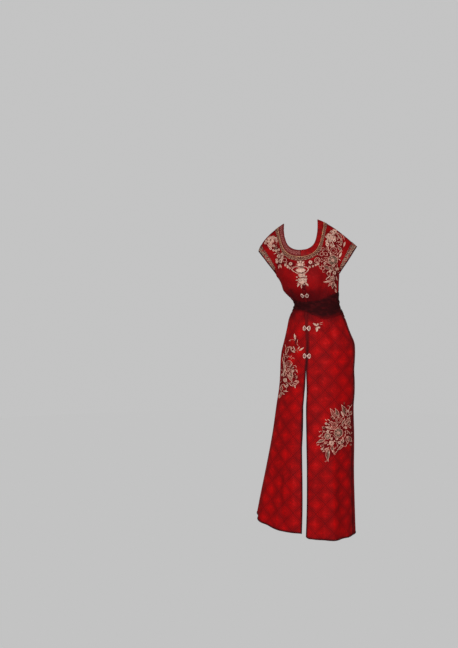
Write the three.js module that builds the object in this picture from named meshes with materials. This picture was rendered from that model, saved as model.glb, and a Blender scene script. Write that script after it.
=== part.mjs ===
// A long Ming-style over-robe as it is worn, with no wearer: round neck, short sleeves cut in one
// with the body, a front that meets edge to edge under three pairs of metal clasps, and a dark sash
// wound round the waist. Below the last clasp the fronts fall apart, and the back has a vent.
// Millimetres, +Z up, the front faces -Y. "Right" and "left" are the wearer's own: right is -X.
// The origin is where the wearer's shoulders carry the robe, midway between the two neck points.
import * as THREE from "three";

// Cloth and trims
const CLOTH = 1.6; // lined brocade
const SEAM = 0.2; // each piece stops this far short of its cut line, so two pieces lie 0.4 apart
const LIFT = 0.35; // clearance under whatever is sewn on top of the cloth
const TRIM = 1.0; // thickness of the neck bands, cuffs and edge binding
const BINDING = 4.5; // width of the dark binding on every free edge
const COLLAR = 28; // width of the plain band along the neckline
const PIPING = 3; // width of the pale piping outside it
const LACE = 15; // width of the figured band outside the piping
const CUFF_TOP = 30; // width of the sleeve band on the shoulder
const CUFF_UNDER = 17; // and under the arm
const CENTRE = 0.15; // each front edge stands this far off the centre line where the fronts meet

// Mesh density
const SIDE_COLUMNS = 12; // from the centre edge to the side seam
const SLEEVE_COLUMNS = 6; // from the underarm point up to the shoulder fold
const RIDGE = SIDE_COLUMNS + SLEEVE_COLUMNS; // the column that is the shoulder fold
const LAST = 2 * RIDGE; // the column at the centre back

// The body from underarm to hem, one row for each level.
// right, left: how far the outline reaches; front, back: depth of the section before and behind its
// middle; turn: degrees the section faces towards the wearer's right; frontSlip, backSlip: degrees
// that the centre front and centre back lie off its own axis; y: how far its middle stands back.
const LEVELS = table(
  ["z", "right", "left", "front", "back", "turn", "frontSlip", "backSlip", "y"],
  [
    [-222, -103, 160, 116, 100, 10, 0, 6, 0], // underarm
    [-256, -83, 158, 116, 97, 11.5, 0, 8, -1], // bust
    [-288, -72, 157, 107, 95, 15, 0, 10, -1], // blousing over the sash
    [-308, -53, 158, 96, 91, 21, 0, 13, 0],
    [-328, -32, 157, 87, 86, 28, 0, 15, 1],
    [-345, -24, 159, 84, 85, 30, 0, 16, 2], // under the sash
    [-368, -31, 167, 89, 91, 28.5, 0, 16, 2],
    [-405, -47, 185, 101, 104, 26, 0, 16, 2], // high hip
    [-455, -59, 203, 110, 120, 24, 0, 16, 2],
    [-505, -71, 223, 117, 129, 23.5, 0, 16, 3], // hip
    [-556, -82, 226, 121, 129, 21.5, 0, 16, 3],
    [-620, -85, 223, 125, 125, 21.5, 0, 16.5, 3],
    [-690, -89, 225, 127, 124, 21.5, 0, 16.5, 3],
    [-770, -102, 219, 131, 127, 20, 1, 16.5, 3],
    [-900, -121, 219, 137, 134, 20, 4.5, 15, 4],
    [-1040, -147, 216, 143, 142, 20, 10, 13.5, 5],
    [-1180, -175, 219, 148, 149, 20, 13.5, 12.5, 6],
    [-1300, -197, 223, 152, 154, 20, 14.7, 12, 6], // hem
  ],
);

// How far each edge stands from the centre line where the fronts and the back vent hang open.
const OPENINGS = table(
  ["z", "frontRight", "frontLeft", "backRight", "backLeft"],
  [
    [-540, 0, 0, 0, 0],
    [-590, 0, 0, 31, 1],
    [-625, 0.5, 0.5, 54, 2],
    [-690, 4, 4, 55, 4],
    [-760, 5.8, 5.8, 51, 7],
    [-800, 7, 7, 48, 9],
    [-925, 8.8, 9.6, 44, 13],
    [-1100, 7, 9.9, 38, 18],
    [-1300, 6.5, 9.9, 35, 22],
  ],
);

// Hem height round the robe: u runs from the centre front (0) to the centre back (1) on each side.
const HEM = {
  right: table(
    ["u", "z"],
    [[0, -1276], [0.1, -1275], [0.2, -1270], [0.3, -1255], [0.4, -1241], [0.55, -1240], [1, -1258]],
  ),
  left: table(["u", "z"], [[0, -1287], [0.1, -1297], [0.25, -1301], [0.5, -1296], [1, -1282]]),
};

// The neckline, from the centre front over the neck point to the centre back, on each side.
const NECKLINE = {
  left: table(
    ["x", "y", "z"],
    [
      [0, -98, -124], // centre front
      [28, -93, -119],
      [52, -75, -101],
      [66, -49, -64],
      [70, -20, -24],
      [70, 8, 8], // neck point
      [69, 38, -42],
      [56, 68, -88],
      [32, 86, -108],
      [10, 92, -112], // centre back
    ],
  ),
  right: table(
    ["x", "y", "z"],
    [
      [0, -98, -124],
      [-27, -91, -120],
      [-50, -70, -104],
      [-64, -42, -73],
      [-70, -13, -38],
      [-70, 16, -8], // neck point
      [-68, 46, -62],
      [-50, 74, -102],
      [-18, 90, -113],
      [10, 92, -112],
    ],
  ),
};
const NECK_POINT = 5 / 9; // share of the way along each side's neckline where the neck point lies

// The shoulders: where each short sleeve ends, and which way the fold runs at both its ends.
const SHOULDERS = {
  left: {
    tip: new THREE.Vector3(232, -32, -109),
    halfDepth: 50, // of the arm opening, front to back
    fromTip: new THREE.Vector3(-0.74, 0.1, 0.67),
    fromNeck: new THREE.Vector3(0.92, -0.12, -0.36),
  },
  right: {
    tip: new THREE.Vector3(-178, 34, -123),
    halfDepth: 48,
    fromTip: new THREE.Vector3(0.3, -0.1, 0.94),
    fromNeck: new THREE.Vector3(-0.84, 0.12, -0.53),
  },
};
const OPENING_POINT = 1.5; // how sharply the arm opening closes at the underarm and the fold
const FULLNESS = 0.35; // how far the shoulder surface keeps its direction at both ends
const UNDERARM_FULLNESS = 0.2; // more where it leaves the underarm
const SWELL = 0.42; // how far it stands out before and behind the shoulder, at the neckline

// Which way the shoulder surface leaves its lower edge, from the body's columns through the underarm
// point (12) and up the arm opening: towards the neck, away from the middle of the depth, and up.
const DEPART = table(
  ["steps", "towards", "away", "up"],
  [
    [6, 0.05, 0.05, 1],
    [8, 0.12, 0.2, 0.97],
    [10, 0.22, 0.48, 0.85],
    [12, 0.34, 0.7, 0.62],
    [13, 0.48, 0.6, 0.62],
    [14, 0.62, 0.46, 0.62],
    [15, 0.74, 0.28, 0.6],
    [16, 0.78, 0.12, 0.6],
  ],
);
const TURNING = [3, 8]; // columns over which the body's own slope gives way to these
const TENSION_PASSES = 8; // how far the cloth between chest and sleeve is pulled straight
const TENSION_COLUMNS = 3.2; // and over how many columns to each side of the underarm's

// The largest folds. u: place round the body, from -1 and 1 at the centre back through 0 at the
// centre front; drift: how far that place moves by the hem; top, full: heights where the fold
// starts and reaches its depth; width and depth in mm, a trough where depth is negative.
const FOLDS = table(
  ["u", "drift", "top", "full", "width", "depth"],
  [
    [-0.2, -0.02, -760, -1180, 24, -9], // right front
    [-0.3, 0, -860, -1240, 26, 8],
    [-0.4, 0.02, -620, -1100, 24, -7],
    [0.13, 0.01, -860, -1240, 26, -6], // left front
    [0.24, 0, -700, -1200, 34, 8],
    [0.36, -0.01, -640, -1150, 26, -7],
    [-0.58, 0, -560, -1100, 28, 9], // right back
    [-0.67, 0, -600, -1150, 26, -9],
    [-0.77, 0.01, -640, -1180, 28, 9],
    [-0.86, 0.02, -640, -1150, 24, -8],
    [0.57, 0, -560, -1120, 28, 9], // left back
    [0.66, 0, -600, -1150, 26, -9],
    [0.75, -0.01, -620, -1180, 28, 10],
    [0.85, -0.02, -640, -1150, 26, -9],
  ],
);
const GATHERS = 12; // small tucks round the waist, above and below the sash
const GATHER_DEPTH = 2.2;
const EDGE_ROLL = 6; // how far the hanging front and vent edges roll inwards
const EDGE_ROLL_WIDTH = 26;
const BINDING_TOP = -285; // the front binding starts under the pendant
const VENT_TOP = -560; // the back binding starts at the head of the vent

// The sash, wound once and crushed: its middle height and half width round the body.
const SASH = table(
  ["u", "z", "half"],
  [
    [-1, -356, 44],
    [-0.75, -352, 38],
    [-0.5, -347, 29],
    [-0.25, -350, 24],
    [0, -357, 22],
    [0.2, -366, 40],
    [0.35, -361, 56],
    [0.5, -352, 54],
    [0.75, -354, 48],
    [1, -356, 44],
  ],
);
const SASH_ROWS = 10;
const SASH_CLEAR = 1.2; // over the robe
const SASH_OVER_BINDING = 0.8; // more where it crosses the front edges
const SASH_THIN = 1.8; // at its edges and in its creases
const SASH_CREST = 3; // more on its crushed ridges
const SASH_RIDGES = 3;

// The satin pendant under the neck: the half on each side of the centre front.
const PENDANT = table(
  ["z", "half"],
  [
    [-171, 17], // under the lace band
    [-183, 25],
    [-196, 29],
    [-209, 27],
    [-221, 18],
    [-233, 13],
    [-247, 16],
    [-261, 13],
    [-273, 8],
    [-284, 3], // tip
  ],
);
const PENDANT_COLUMNS = 3;
const PENDANT_EDGE = 1.1; // thickness at its edges
const PENDANT_CREST = 1.6; // more where it is padded
const LAID = 1.1; // clearance under pieces that don't share the cloth's own rows

// Clasps: three pairs down the centre front, a lobed rosette on each side, joined by a tongue that
// lies over a ledge.
const CLASPS = table(["name", "z"], [["upper", -309], ["middle", -444], ["lower", -556]]);
const CLASP = { width: 16, height: 21, offset: 11.5, lobes: 5, wave: 0.08, rim: 1.8, dome: 2.4 };
const CLASP_CLEAR = 2; // over the cloth, so above the binding
const TONGUE = { half: 3.6, over: [1.5, 2.6], under: [0, 1.1], reachOver: 2.4, reachUnder: -1 };
const CLASP_POINTS = 24;

// Colours
const RED = 0x8c1013;
const MAROON = 0x35060b;
const GOLD = 0xc9a77c;
const TAUPE = 0x8a6a5c;
const SILVER = 0xd9b7a8;
const SASH_BLACK = 0x22070c;
const CREAM = 0xd8c3a0;

// A table of named columns, one row for each level, point or fold.
function table(columns, rows) {
  return rows.map((row) => Object.fromEntries(columns.map((name, i) => [name, row[i]])));
}

function smooth(t) {
  const s = Math.min(1, Math.max(0, t));
  return s * s * (3 - 2 * s);
}

// Reads one column of a table at a value of its key column, on a smooth curve through its rows.
function readAt(rows, key, at, column) {
  const up = rows[rows.length - 1][key] > rows[0][key];
  const order = up ? rows : [...rows].reverse();
  const last = order.length - 1;
  if (at <= order[0][key]) return order[0][column];
  if (at >= order[last][key]) return order[last][column];
  let i = 0;
  while (order[i + 1][key] < at) i++;
  const slope = (a, b) => (order[b][column] - order[a][column]) / (order[b][key] - order[a][key]);
  const step = order[i + 1][key] - order[i][key];
  const t = (at - order[i][key]) / step;
  const startSlope = slope(Math.max(0, i - 1), i + 1) * step;
  const endSlope = slope(i, Math.min(last, i + 2)) * step;
  const t2 = t * t;
  const t3 = t2 * t;
  return (
    (2 * t3 - 3 * t2 + 1) * order[i][column] +
    (t3 - 2 * t2 + t) * startSlope +
    (3 * t2 - 2 * t3) * order[i + 1][column] +
    (t3 - t2) * endSlope
  );
}

// How far the cloth stands off the plain section at a place round the body, folds and tucks alike.
function relief(u, z, girth) {
  let out = 0;
  for (const fold of FOLDS) {
    const grown = smooth((fold.top - z) / (fold.top - fold.full));
    const away = ((u - fold.u - fold.drift * grown) * girth) / fold.width;
    out += fold.depth * grown * Math.exp(-away * away);
  }
  const fromSash = Math.abs(z - readAt(SASH, "u", u, "z")) - readAt(SASH, "u", u, "half");
  const near = smooth((fromSash + 8) / 22) * (1 - smooth((fromSash - 20) / 90));
  const phase = Math.PI * (GATHERS * u + 0.35 * Math.sin(3 * Math.PI * u));
  out += GATHER_DEPTH * near * Math.cos(phase);
  return out;
}

// A point of the robe's outer face between hem and underarm, at u round the body and height z.
function bodyPoint(u, z) {
  const level = (column) => readAt(LEVELS, "z", z, column);
  const turn = THREE.MathUtils.degToRad(level("turn"));
  const reach = (level("left") - level("right")) / 2;
  const depth = (level("front") + level("back")) / 2;
  const half = Math.sqrt(reach ** 2 - (depth * Math.sin(turn)) ** 2) / Math.cos(turn);
  const ahead = Math.max(0, Math.cos(Math.PI * u)) ** 2;
  const behind = Math.max(0, -Math.cos(Math.PI * u)) ** 2;
  const slip = level("frontSlip") * ahead + level("backSlip") * behind;
  const angle = Math.PI * u + THREE.MathUtils.degToRad(slip);
  const deep = Math.cos(angle) > 0 ? level("front") : level("back");
  const normal = new THREE.Vector2(Math.sin(angle) / half, -Math.cos(angle) / deep).normalize();
  const out = relief(u, z, Math.PI * half);
  const across = half * Math.sin(angle) + normal.x * out;
  const along = -deep * Math.cos(angle) + normal.y * out;
  return new THREE.Vector3(
    (level("left") + level("right")) / 2 + across * Math.cos(turn) + along * Math.sin(turn),
    level("y") - across * Math.sin(turn) + along * Math.cos(turn),
    z,
  );
}

// Arc length of the section for each unit of u, near the centre line.
function girthAt(z) {
  return (Math.PI * (readAt(LEVELS, "z", z, "left") - readAt(LEVELS, "z", z, "right"))) / 2;
}

const sideSign = (side) => (side === "left" ? 1 : -1);
const sideName = (side) => (side === "left" ? "Left" : "Right");

// The column's place round the body: 0 at the centre front edge, 0.5 at the side seam, 1 at the
// centre back edge. The column beside each edge is one binding's width in.
function columnPlace(side, column, z) {
  const isFront = column <= SIDE_COLUMNS;
  const steps = isFront ? column : LAST - column;
  const open = readAt(OPENINGS, "z", z, (isFront ? "front" : "back") + sideName(side));
  const edge = (CENTRE + Math.max(0, open)) / girthAt(z);
  const inner = edge + BINDING / girthAt(z);
  const share = (steps - 1) / (SIDE_COLUMNS - 1);
  const from = steps === 0 ? edge : inner + (0.5 - inner) * share;
  return isFront ? from : 1 - from;
}

// The hanging edges roll inwards below the hips.
function edgeRoll(side, column, z) {
  const isFront = column <= SIDE_COLUMNS;
  const open = readAt(OPENINGS, "z", z, (isFront ? "front" : "back") + sideName(side));
  const place = columnPlace(side, column, z);
  const fromEdge = (isFront ? place : 1 - place) * girthAt(z) - open;
  return -EDGE_ROLL * smooth(open / 9) * Math.exp(-((fromEdge / EDGE_ROLL_WIDTH) ** 2));
}

// A point of the outer face on one of the columns, below the underarm.
function lowerPoint(side, column, z) {
  const u = sideSign(side) * columnPlace(side, column, z);
  const point = bodyPoint(u, z);
  const roll = edgeRoll(side, column, z);
  const inwards = new THREE.Vector3(
    (readAt(LEVELS, "z", z, "left") + readAt(LEVELS, "z", z, "right")) / 2 - point.x,
    -point.y,
    0,
  ).normalize();
  return point.addScaledVector(inwards, -roll);
}

// Row heights from the hem up to the underarm; the hem row and the one above it follow the hem.
const ROW_HEIGHTS = [
  null, null, -1225, -1170, -1112, -1054, -996, -938, -880, -822, -764, -712, -664, -620, -580,
  -542, -505, -470, -438, -410, -388, -368, -352, -336, -320, -304, -288, -268, -246, -222,
];
const UNDERARM_ROW = ROW_HEIGHTS.length - 1;
const YOKE_ROWS = 8; // from the underarm and the sleeve's edge up to the neckline
const TOP_ROW = UNDERARM_ROW + YOKE_ROWS;
const UNDERARM = ROW_HEIGHTS[UNDERARM_ROW];

function rowHeight(side, column, row) {
  if (row > 1) return ROW_HEIGHTS[row];
  const steps = column <= SIDE_COLUMNS ? column : column - (LAST - 2 * SIDE_COLUMNS);
  const hem = readAt(HEM[side], "u", steps / (2 * SIDE_COLUMNS), "z");
  return row === 0 ? hem : hem + BINDING;
}

// The curve round the arm opening: up its front from the underarm point to the tip of the sleeve,
// and down its back.
function armOpening(side, column) {
  const { tip, halfDepth } = SHOULDERS[side];
  const underarm = bodyPoint(sideSign(side) * 0.5, UNDERARM);
  const steps = (column - SIDE_COLUMNS) / SLEEVE_COLUMNS;
  const up = steps <= 1 ? steps : 2 - steps;
  const rise = 0.5 * up + 0.25 * (1 - Math.cos(Math.PI * up));
  const depth = halfDepth * Math.sin(Math.PI * up) ** OPENING_POINT;
  const point = underarm.lerp(tip, rise);
  point.y += steps <= 1 ? -depth : depth;
  return point;
}

const necklines = Object.fromEntries(
  Object.entries(NECKLINE).map(([side, points]) => {
    const other = NECKLINE[side === "left" ? "right" : "left"];
    const loop = [...points, ...other.slice(1, -1).reverse()];
    const curve = new THREE.CatmullRomCurve3(
      loop.map((p) => new THREE.Vector3(p.x, p.y, p.z)),
      true,
      "centripetal",
    );
    return [side, { curve, share: (points.length - 1) / loop.length }];
  }),
);

function neckPoint(side, column) {
  const { curve, share } = necklines[side];
  const along =
    column <= RIDGE
      ? (NECK_POINT * column) / RIDGE
      : NECK_POINT + ((1 - NECK_POINT) * (column - RIDGE)) / RIDGE;
  const point = curve.getPoint(along * share);
  const fromEdge = Math.min(column, LAST - column);
  point.x += sideSign(side) * CENTRE * (1 - smooth(fromEdge));
  return point;
}

// The shoulder surface runs from the underarm level or the arm opening up to the neckline, each
// column a curve that leaves both ends in a set direction.
function shoulderCurve(side, column) {
  const { fromTip, fromNeck } = SHOULDERS[side];
  const steps = column <= RIDGE ? column : LAST - column;
  const isBody = steps <= SIDE_COLUMNS;
  const start = isBody ? lowerPoint(side, column, UNDERARM) : armOpening(side, column);
  const end = neckPoint(side, column);
  const trunk = column <= RIDGE ? Math.min(column, SIDE_COLUMNS) : Math.max(column, LAST - SIDE_COLUMNS);
  const upwards = lowerPoint(side, trunk, UNDERARM).sub(lowerPoint(side, trunk, UNDERARM - 20));
  const way = (name) => readAt(DEPART, "steps", steps, name);
  const away = column <= RIDGE ? -way("away") : way("away");
  const depart = new THREE.Vector3(-sideSign(side) * way("towards"), away, way("up"));
  const turned = smooth((steps - TURNING[0]) / (TURNING[1] - TURNING[0]));
  const fold = smooth((steps - SIDE_COLUMNS - 2) / (SLEEVE_COLUMNS - 2));
  const leave = upwards.normalize().lerp(depart, turned).lerp(fromTip, fold).normalize();
  const facing = column <= RIDGE ? -1 : 1;
  const share = steps / RIDGE;
  const arrive = new THREE.Vector3(0, 0.32 * facing, -0.94).lerp(fromNeck, smooth(share));
  arrive.y += facing * SWELL * Math.sin(Math.PI * share) ** 2;
  const long = start.distanceTo(end);
  const full = FULLNESS + UNDERARM_FULLNESS * Math.exp(-(((steps - SIDE_COLUMNS - 0.5) / 2.5) ** 2));
  return new THREE.CubicBezierCurve3(
    start,
    start.clone().addScaledVector(leave, long * full),
    end.clone().addScaledVector(arrive.normalize(), long * FULLNESS),
    end,
  );
}

// Distances along a column from its foot, so that a row lies on the edge of every band.
function yokeRows(column, long) {
  const steps = column <= RIDGE ? column : LAST - column;
  const sleeve = Math.max(0, steps - SIDE_COLUMNS) / SLEEVE_COLUMNS;
  const cuff = CUFF_UNDER + (CUFF_TOP - CUFF_UNDER) * sleeve;
  const neck = [COLLAR + PIPING + LACE, COLLAR + PIPING, COLLAR, 0].map((d) => long - d);
  const between = YOKE_ROWS - neck.length;
  const middle = [];
  for (let i = 1; i <= between; i++) {
    middle.push(cuff + ((neck[0] - cuff) * (i - 1)) / between);
  }
  return [0, ...middle, ...neck];
}

// Pulls the rows between chest and sleeve straighter, as cloth hangs between two supports.
function tighten(points) {
  const middles = [SIDE_COLUMNS + 1.5, LAST - SIDE_COLUMNS - 1.5];
  for (let pass = 0; pass < TENSION_PASSES; pass++) {
    for (let row = UNDERARM_ROW + 1; row <= TOP_ROW - 3; row++) {
      const rise = Math.min(1, (row - UNDERARM_ROW) / 3);
      const before = [];
      for (let column = 0; column <= LAST; column++) before.push(points.get(`${row},${column}`));
      for (let column = 1; column < LAST; column++) {
        if (column === RIDGE) continue;
        const near = Math.min(...middles.map((middle) => Math.abs(column - middle)));
        const pull = 0.5 * rise * Math.exp(-((near / TENSION_COLUMNS) ** 2));
        const between = before[column - 1].clone().lerp(before[column + 1], 0.5);
        points.set(`${row},${column}`, before[column].clone().lerp(between, pull));
      }
    }
  }
  return points;
}

// Every point of one half of the robe, keyed by row and column.
function halfGrid(side) {
  const points = new Map();
  const put = (row, column, point) => points.set(`${row},${column}`, point);
  for (let column = 0; column <= LAST; column++) {
    const steps = column <= RIDGE ? column : LAST - column;
    if (steps <= SIDE_COLUMNS) {
      for (let row = 0; row < UNDERARM_ROW; row++) {
        const height = rowHeight(side, column, row);
        put(row, column, lowerPoint(side, column, height));
      }
    }
    const curve = shoulderCurve(side, column);
    const long = curve.getLength();
    yokeRows(column, long).forEach((distance, i) => {
      put(UNDERARM_ROW + i, column, curve.getPointAt(Math.min(1, Math.max(0, distance / long))));
    });
  }
  return tighten(points);
}

// The cells between the grid's points, each with the keys of its four corners, counter-clockwise
// seen from outside.
function halfCells(side, points) {
  const cells = [];
  for (let row = 0; row < TOP_ROW; row++) {
    for (let column = 0; column < LAST; column++) {
      const corners = [
        `${row},${column}`,
        `${row},${column + 1}`,
        `${row + 1},${column + 1}`,
        `${row + 1},${column}`,
      ];
      const isPlain = corners.every((key) => points.has(key));
      if (!isPlain) continue;
      if (row < UNDERARM_ROW && column >= SIDE_COLUMNS && column < LAST - SIDE_COLUMNS) continue;
      if (side === "right") corners.reverse();
      cells.push({ row, column, corners });
    }
  }
  return cells;
}

const placeKey = (p) => [p.x, p.y, p.z].map((v) => Math.round(v * 1e3)).join(",");

// Outward directions at every place, shared by all cells that meet there.
function outwardAt(points, cells) {
  const sums = new Map();
  for (const { corners } of cells) {
    const [a, b, c, d] = corners.map((key) => points.get(key));
    const normal = new THREE.Vector3()
      .subVectors(c, a)
      .cross(new THREE.Vector3().subVectors(d, b));
    for (const point of [a, b, c, d]) {
      const key = placeKey(point);
      sums.set(key, (sums.get(key) ?? new THREE.Vector3()).clone().add(normal));
    }
  }
  return (point) => sums.get(placeKey(point)).clone().normalize();
}

// A closed wall over a set of cells: its inner face lies lift above the grid and its outer face
// lift + thickness, each a number or a function of the point's key. Its outline stops SEAM short of
// the cells' own.
function wall(points, cells, lift, thickness, outward = outwardAt(points, cells)) {
  const edgeUses = new Map();
  const centres = new Map();
  for (const { corners } of cells) {
    const middle = new THREE.Vector3();
    corners.forEach((key) => middle.addScaledVector(points.get(key), 1 / 4));
    corners.forEach((key, i) => {
      const next = corners[(i + 1) % 4];
      edgeUses.set(`${key}|${next}`, [key, next]);
      const found = centres.get(key) ?? { sum: new THREE.Vector3(), count: 0 };
      found.sum.add(middle);
      found.count++;
      centres.set(key, found);
    });
  }
  const rim = [...edgeUses.values()].filter(([a, b]) => !edgeUses.has(`${b}|${a}`));
  const onRim = new Set(rim.flat());
  const keys = [...centres.keys()];
  const index = new Map(keys.map((key, i) => [key, i]));
  const inner = [];
  const outer = [];
  for (const key of keys) {
    const point = points.get(key);
    const direction = outward(point);
    const place = point.clone();
    if (onRim.has(key)) {
      const { sum, count } = centres.get(key);
      const towards = sum.clone().divideScalar(count).sub(point);
      towards.addScaledVector(direction, -towards.dot(direction)).normalize();
      place.addScaledVector(towards, SEAM);
    }
    const foot = typeof lift === "function" ? lift(key) : lift;
    const height = typeof thickness === "function" ? thickness(key) : thickness;
    inner.push(place.clone().addScaledVector(direction, foot));
    outer.push(place.clone().addScaledVector(direction, foot + height));
  }
  const total = keys.length;
  const faces = [];
  for (const { corners } of cells) {
    const [a, b, c, d] = corners.map((key) => index.get(key));
    faces.push([a + total, b + total, c + total], [a + total, c + total, d + total]);
    faces.push([c, b, a], [d, c, a]);
  }
  for (const [from, to] of rim) {
    const a = index.get(from);
    const b = index.get(to);
    faces.push([a, b, b + total], [a, b + total, a + total]);
  }
  return solidFrom([...inner, ...outer], faces);
}

function solidFrom(places, faces) {
  const geometry = new THREE.BufferGeometry();
  const positions = new Float32Array(places.flatMap((p) => [p.x, p.y, p.z]));
  geometry.setAttribute("position", new THREE.BufferAttribute(positions, 3));
  geometry.setIndex(faces.flat());
  geometry.computeVertexNormals();
  return geometry;
}

const finishes = {
  brocade: { color: RED, roughness: 0.5 },
  binding: { color: MAROON, roughness: 0.6 },
  collar: { color: RED, roughness: 0.55 },
  piping: { color: GOLD, roughness: 0.5 },
  lace: { color: TAUPE, roughness: 0.7 },
  cuff: { color: TAUPE, roughness: 0.6 },
  pendant: { color: CREAM, roughness: 0.45 },
  sash: { color: SASH_BLACK, roughness: 0.8 },
  clasp: { color: SILVER, roughness: 0.35, metalness: 0.7 },
};

function piece(name, geometry, finish) {
  const mesh = new THREE.Mesh(geometry, new THREE.MeshStandardMaterial(finishes[finish]));
  mesh.name = name;
  return mesh;
}

// The point where a column crosses a height, on the robe's outer face.
function onColumn(points, column, z) {
  for (let row = 1; row <= TOP_ROW; row++) {
    const above = points.get(`${row},${column}`);
    const below = points.get(`${row - 1},${column}`);
    if (above.z < z) continue;
    return below.clone().lerp(above, (z - below.z) / (above.z - below.z));
  }
  throw new Error(`column ${column} ends below ${z}`);
}

// The point on a front's outer face a given distance from its centre edge, at a height.
function onFront(points, across, z) {
  let left = across;
  let from = onColumn(points, 0, z);
  for (let column = 1; column < SIDE_COLUMNS; column++) {
    const to = onColumn(points, column, z);
    const step = from.distanceTo(to);
    if (left <= step) return from.lerp(to, left / step);
    left -= step;
    from = to;
  }
  throw new Error(`${across} reaches past the front at ${z}`);
}

// One half of the robe: its front and back, its bands, its cuff, its binding, its half of the
// pendant and its half of each clasp.
function half(side, points) {
  const group = new THREE.Group();
  const cells = halfCells(side, points);
  const outward = outwardAt(points, cells);
  const add = (name, finish, lift, thickness, wanted) => {
    const chosen = cells.filter(wanted);
    group.add(piece(`${name}_${side}`, wall(points, chosen, lift, thickness, outward), finish));
  };
  add("front", "brocade", -CLOTH, CLOTH, ({ column }) => column < RIDGE);
  add("back", "brocade", -CLOTH, CLOTH, ({ column }) => column >= RIDGE);
  add("lace_band", "lace", LIFT, TRIM, ({ row }) => row === TOP_ROW - 3);
  add("neck_piping", "piping", LIFT, TRIM + 0.4, ({ row }) => row === TOP_ROW - 2);
  add("collar_band", "collar", LIFT, TRIM, ({ row }) => row === TOP_ROW - 1);
  add("cuff", "cuff", LIFT, TRIM, isCuff);
  add("front_binding", "binding", LIFT, TRIM, isFrontBinding);
  add("back_binding", "binding", LIFT, TRIM, isBackBinding);
  group.add(piece(`pendant_${side}`, pendant(side, points), "pendant"));
  for (const { name, z } of CLASPS) {
    group.add(piece(`clasp_${name}_${side}`, clasp(side, points, z), "clasp"));
  }
  return group;
}

// The cuff stops a column short of the underarm at both ends.
const isCuff = ({ row, column }) =>
  row === UNDERARM_ROW && column > SIDE_COLUMNS && column < LAST - SIDE_COLUMNS - 1;

// The front's binding runs along the hem and up the centre edge to the pendant; the back's runs
// along the hem and up the vent as far as it is open.
function isFrontBinding({ row, column }) {
  if (column >= SIDE_COLUMNS) return false;
  return row === 0 || (column === 0 && ROW_HEIGHTS[row + 1] < BINDING_TOP);
}

function isBackBinding({ row, column }) {
  if (column < LAST - SIDE_COLUMNS) return false;
  return row === 0 || (column === LAST - 1 && ROW_HEIGHTS[row + 1] < VENT_TOP);
}

// One half of the pendant: laid on the front, padded between its edges, plain inside.
function pendant(side, points) {
  const patch = new Map();
  const lifts = new Map();
  const cells = [];
  PENDANT.forEach(({ z, half: width }, row) => {
    for (let column = 0; column <= PENDANT_COLUMNS; column++) {
      const share = column / PENDANT_COLUMNS;
      const key = `${row},${column}`;
      patch.set(key, onFront(points, width * share, z));
      const isEdge = row === 0 || row === PENDANT.length - 1 || column === PENDANT_COLUMNS;
      lifts.set(key, PENDANT_EDGE + (isEdge ? 0 : PENDANT_CREST * (row % 2 ? 1 : 0.5)));
      if (row === 0 || column === 0) continue;
      const corners = [
        `${row},${column - 1}`,
        `${row},${column}`,
        `${row - 1},${column}`,
        `${row - 1},${column - 1}`,
      ];
      cells.push({ corners: side === "left" ? corners : corners.reverse() });
    }
  });
  return wall(patch, cells, LAID, (key) => lifts.get(key));
}

// One half of a clasp: a domed, lobed plate with a tongue towards the centre line.
function clasp(side, points, z) {
  const sign = sideSign(side);
  const centre = onFront(points, CLASP.offset, z);
  const across = onFront(points, CLASP.offset + 4, z).sub(onFront(points, 2, z)).normalize();
  const upwards = onFront(points, CLASP.offset, z + 8).sub(onFront(points, CLASP.offset, z - 8));
  upwards.addScaledVector(across, -upwards.dot(across)).normalize();
  const outward = across.clone().cross(upwards).multiplyScalar(sign);
  const isOver = side === "left";
  const tongueSpan = isOver ? TONGUE.over : TONGUE.under;
  const reach = CLASP.offset + (isOver ? TONGUE.reachOver : TONGUE.reachUnder);
  const place = (angle, radius, height) =>
    centre
      .clone()
      .addScaledVector(across, -radius * Math.cos(angle))
      .addScaledVector(upwards, radius * Math.sin(angle))
      .addScaledVector(outward, CLASP_CLEAR + height);
  const foot = [];
  const rim = [];
  const shoulder = [];
  const n = CLASP_POINTS;
  for (let i = 0; i < n; i++) {
    const angle = (2 * Math.PI * i) / n;
    const lobed = 1 + CLASP.wave * Math.cos(CLASP.lobes * (angle - Math.PI));
    const plate =
      lobed / Math.hypot((2 * Math.cos(angle)) / CLASP.width, (2 * Math.sin(angle)) / CLASP.height);
    const beside = TONGUE.half / Math.max(1e-6, Math.abs(Math.sin(angle)));
    const end = reach / Math.max(1e-6, Math.cos(angle));
    const tongue = Math.cos(angle) > 0 ? Math.min(beside, end) : 0;
    const isTongue = tongue > plate;
    const radius = Math.max(plate, tongue);
    foot.push(place(angle, radius, isTongue ? tongueSpan[0] : 0));
    rim.push(place(angle, radius, isTongue ? tongueSpan[1] : CLASP.rim));
    shoulder.push(place(angle, plate * 0.5, CLASP.rim + CLASP.dome * 0.8));
  }
  const places = [...foot, ...rim, ...shoulder, place(0, 0, 0), place(0, 0, CLASP.rim + CLASP.dome)];
  const faces = [];
  for (let i = 0; i < n; i++) {
    const j = (i + 1) % n;
    faces.push([i, j, j + n], [i, j + n, i + n]);
    faces.push([i + n, j + n, j + 2 * n], [i + n, j + 2 * n, i + 2 * n]);
    faces.push([i + 2 * n, j + 2 * n, 3 * n + 1], [j, i, 3 * n]);
  }
  return solidFrom(places, side === "left" ? faces.map((f) => f.reverse()) : faces);
}

// How thick the sash stands at a share (-1 to 1) of its width: thin edges, three crushed ridges.
function sashThickness(u, share) {
  const slant = 0.5 * Math.sin(Math.PI * (u + 0.2));
  const ridge = 0.5 + 0.5 * Math.cos(Math.PI * (SASH_RIDGES * share + slant));
  return SASH_THIN + SASH_CREST * ridge * (1 - share ** 4);
}

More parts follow.
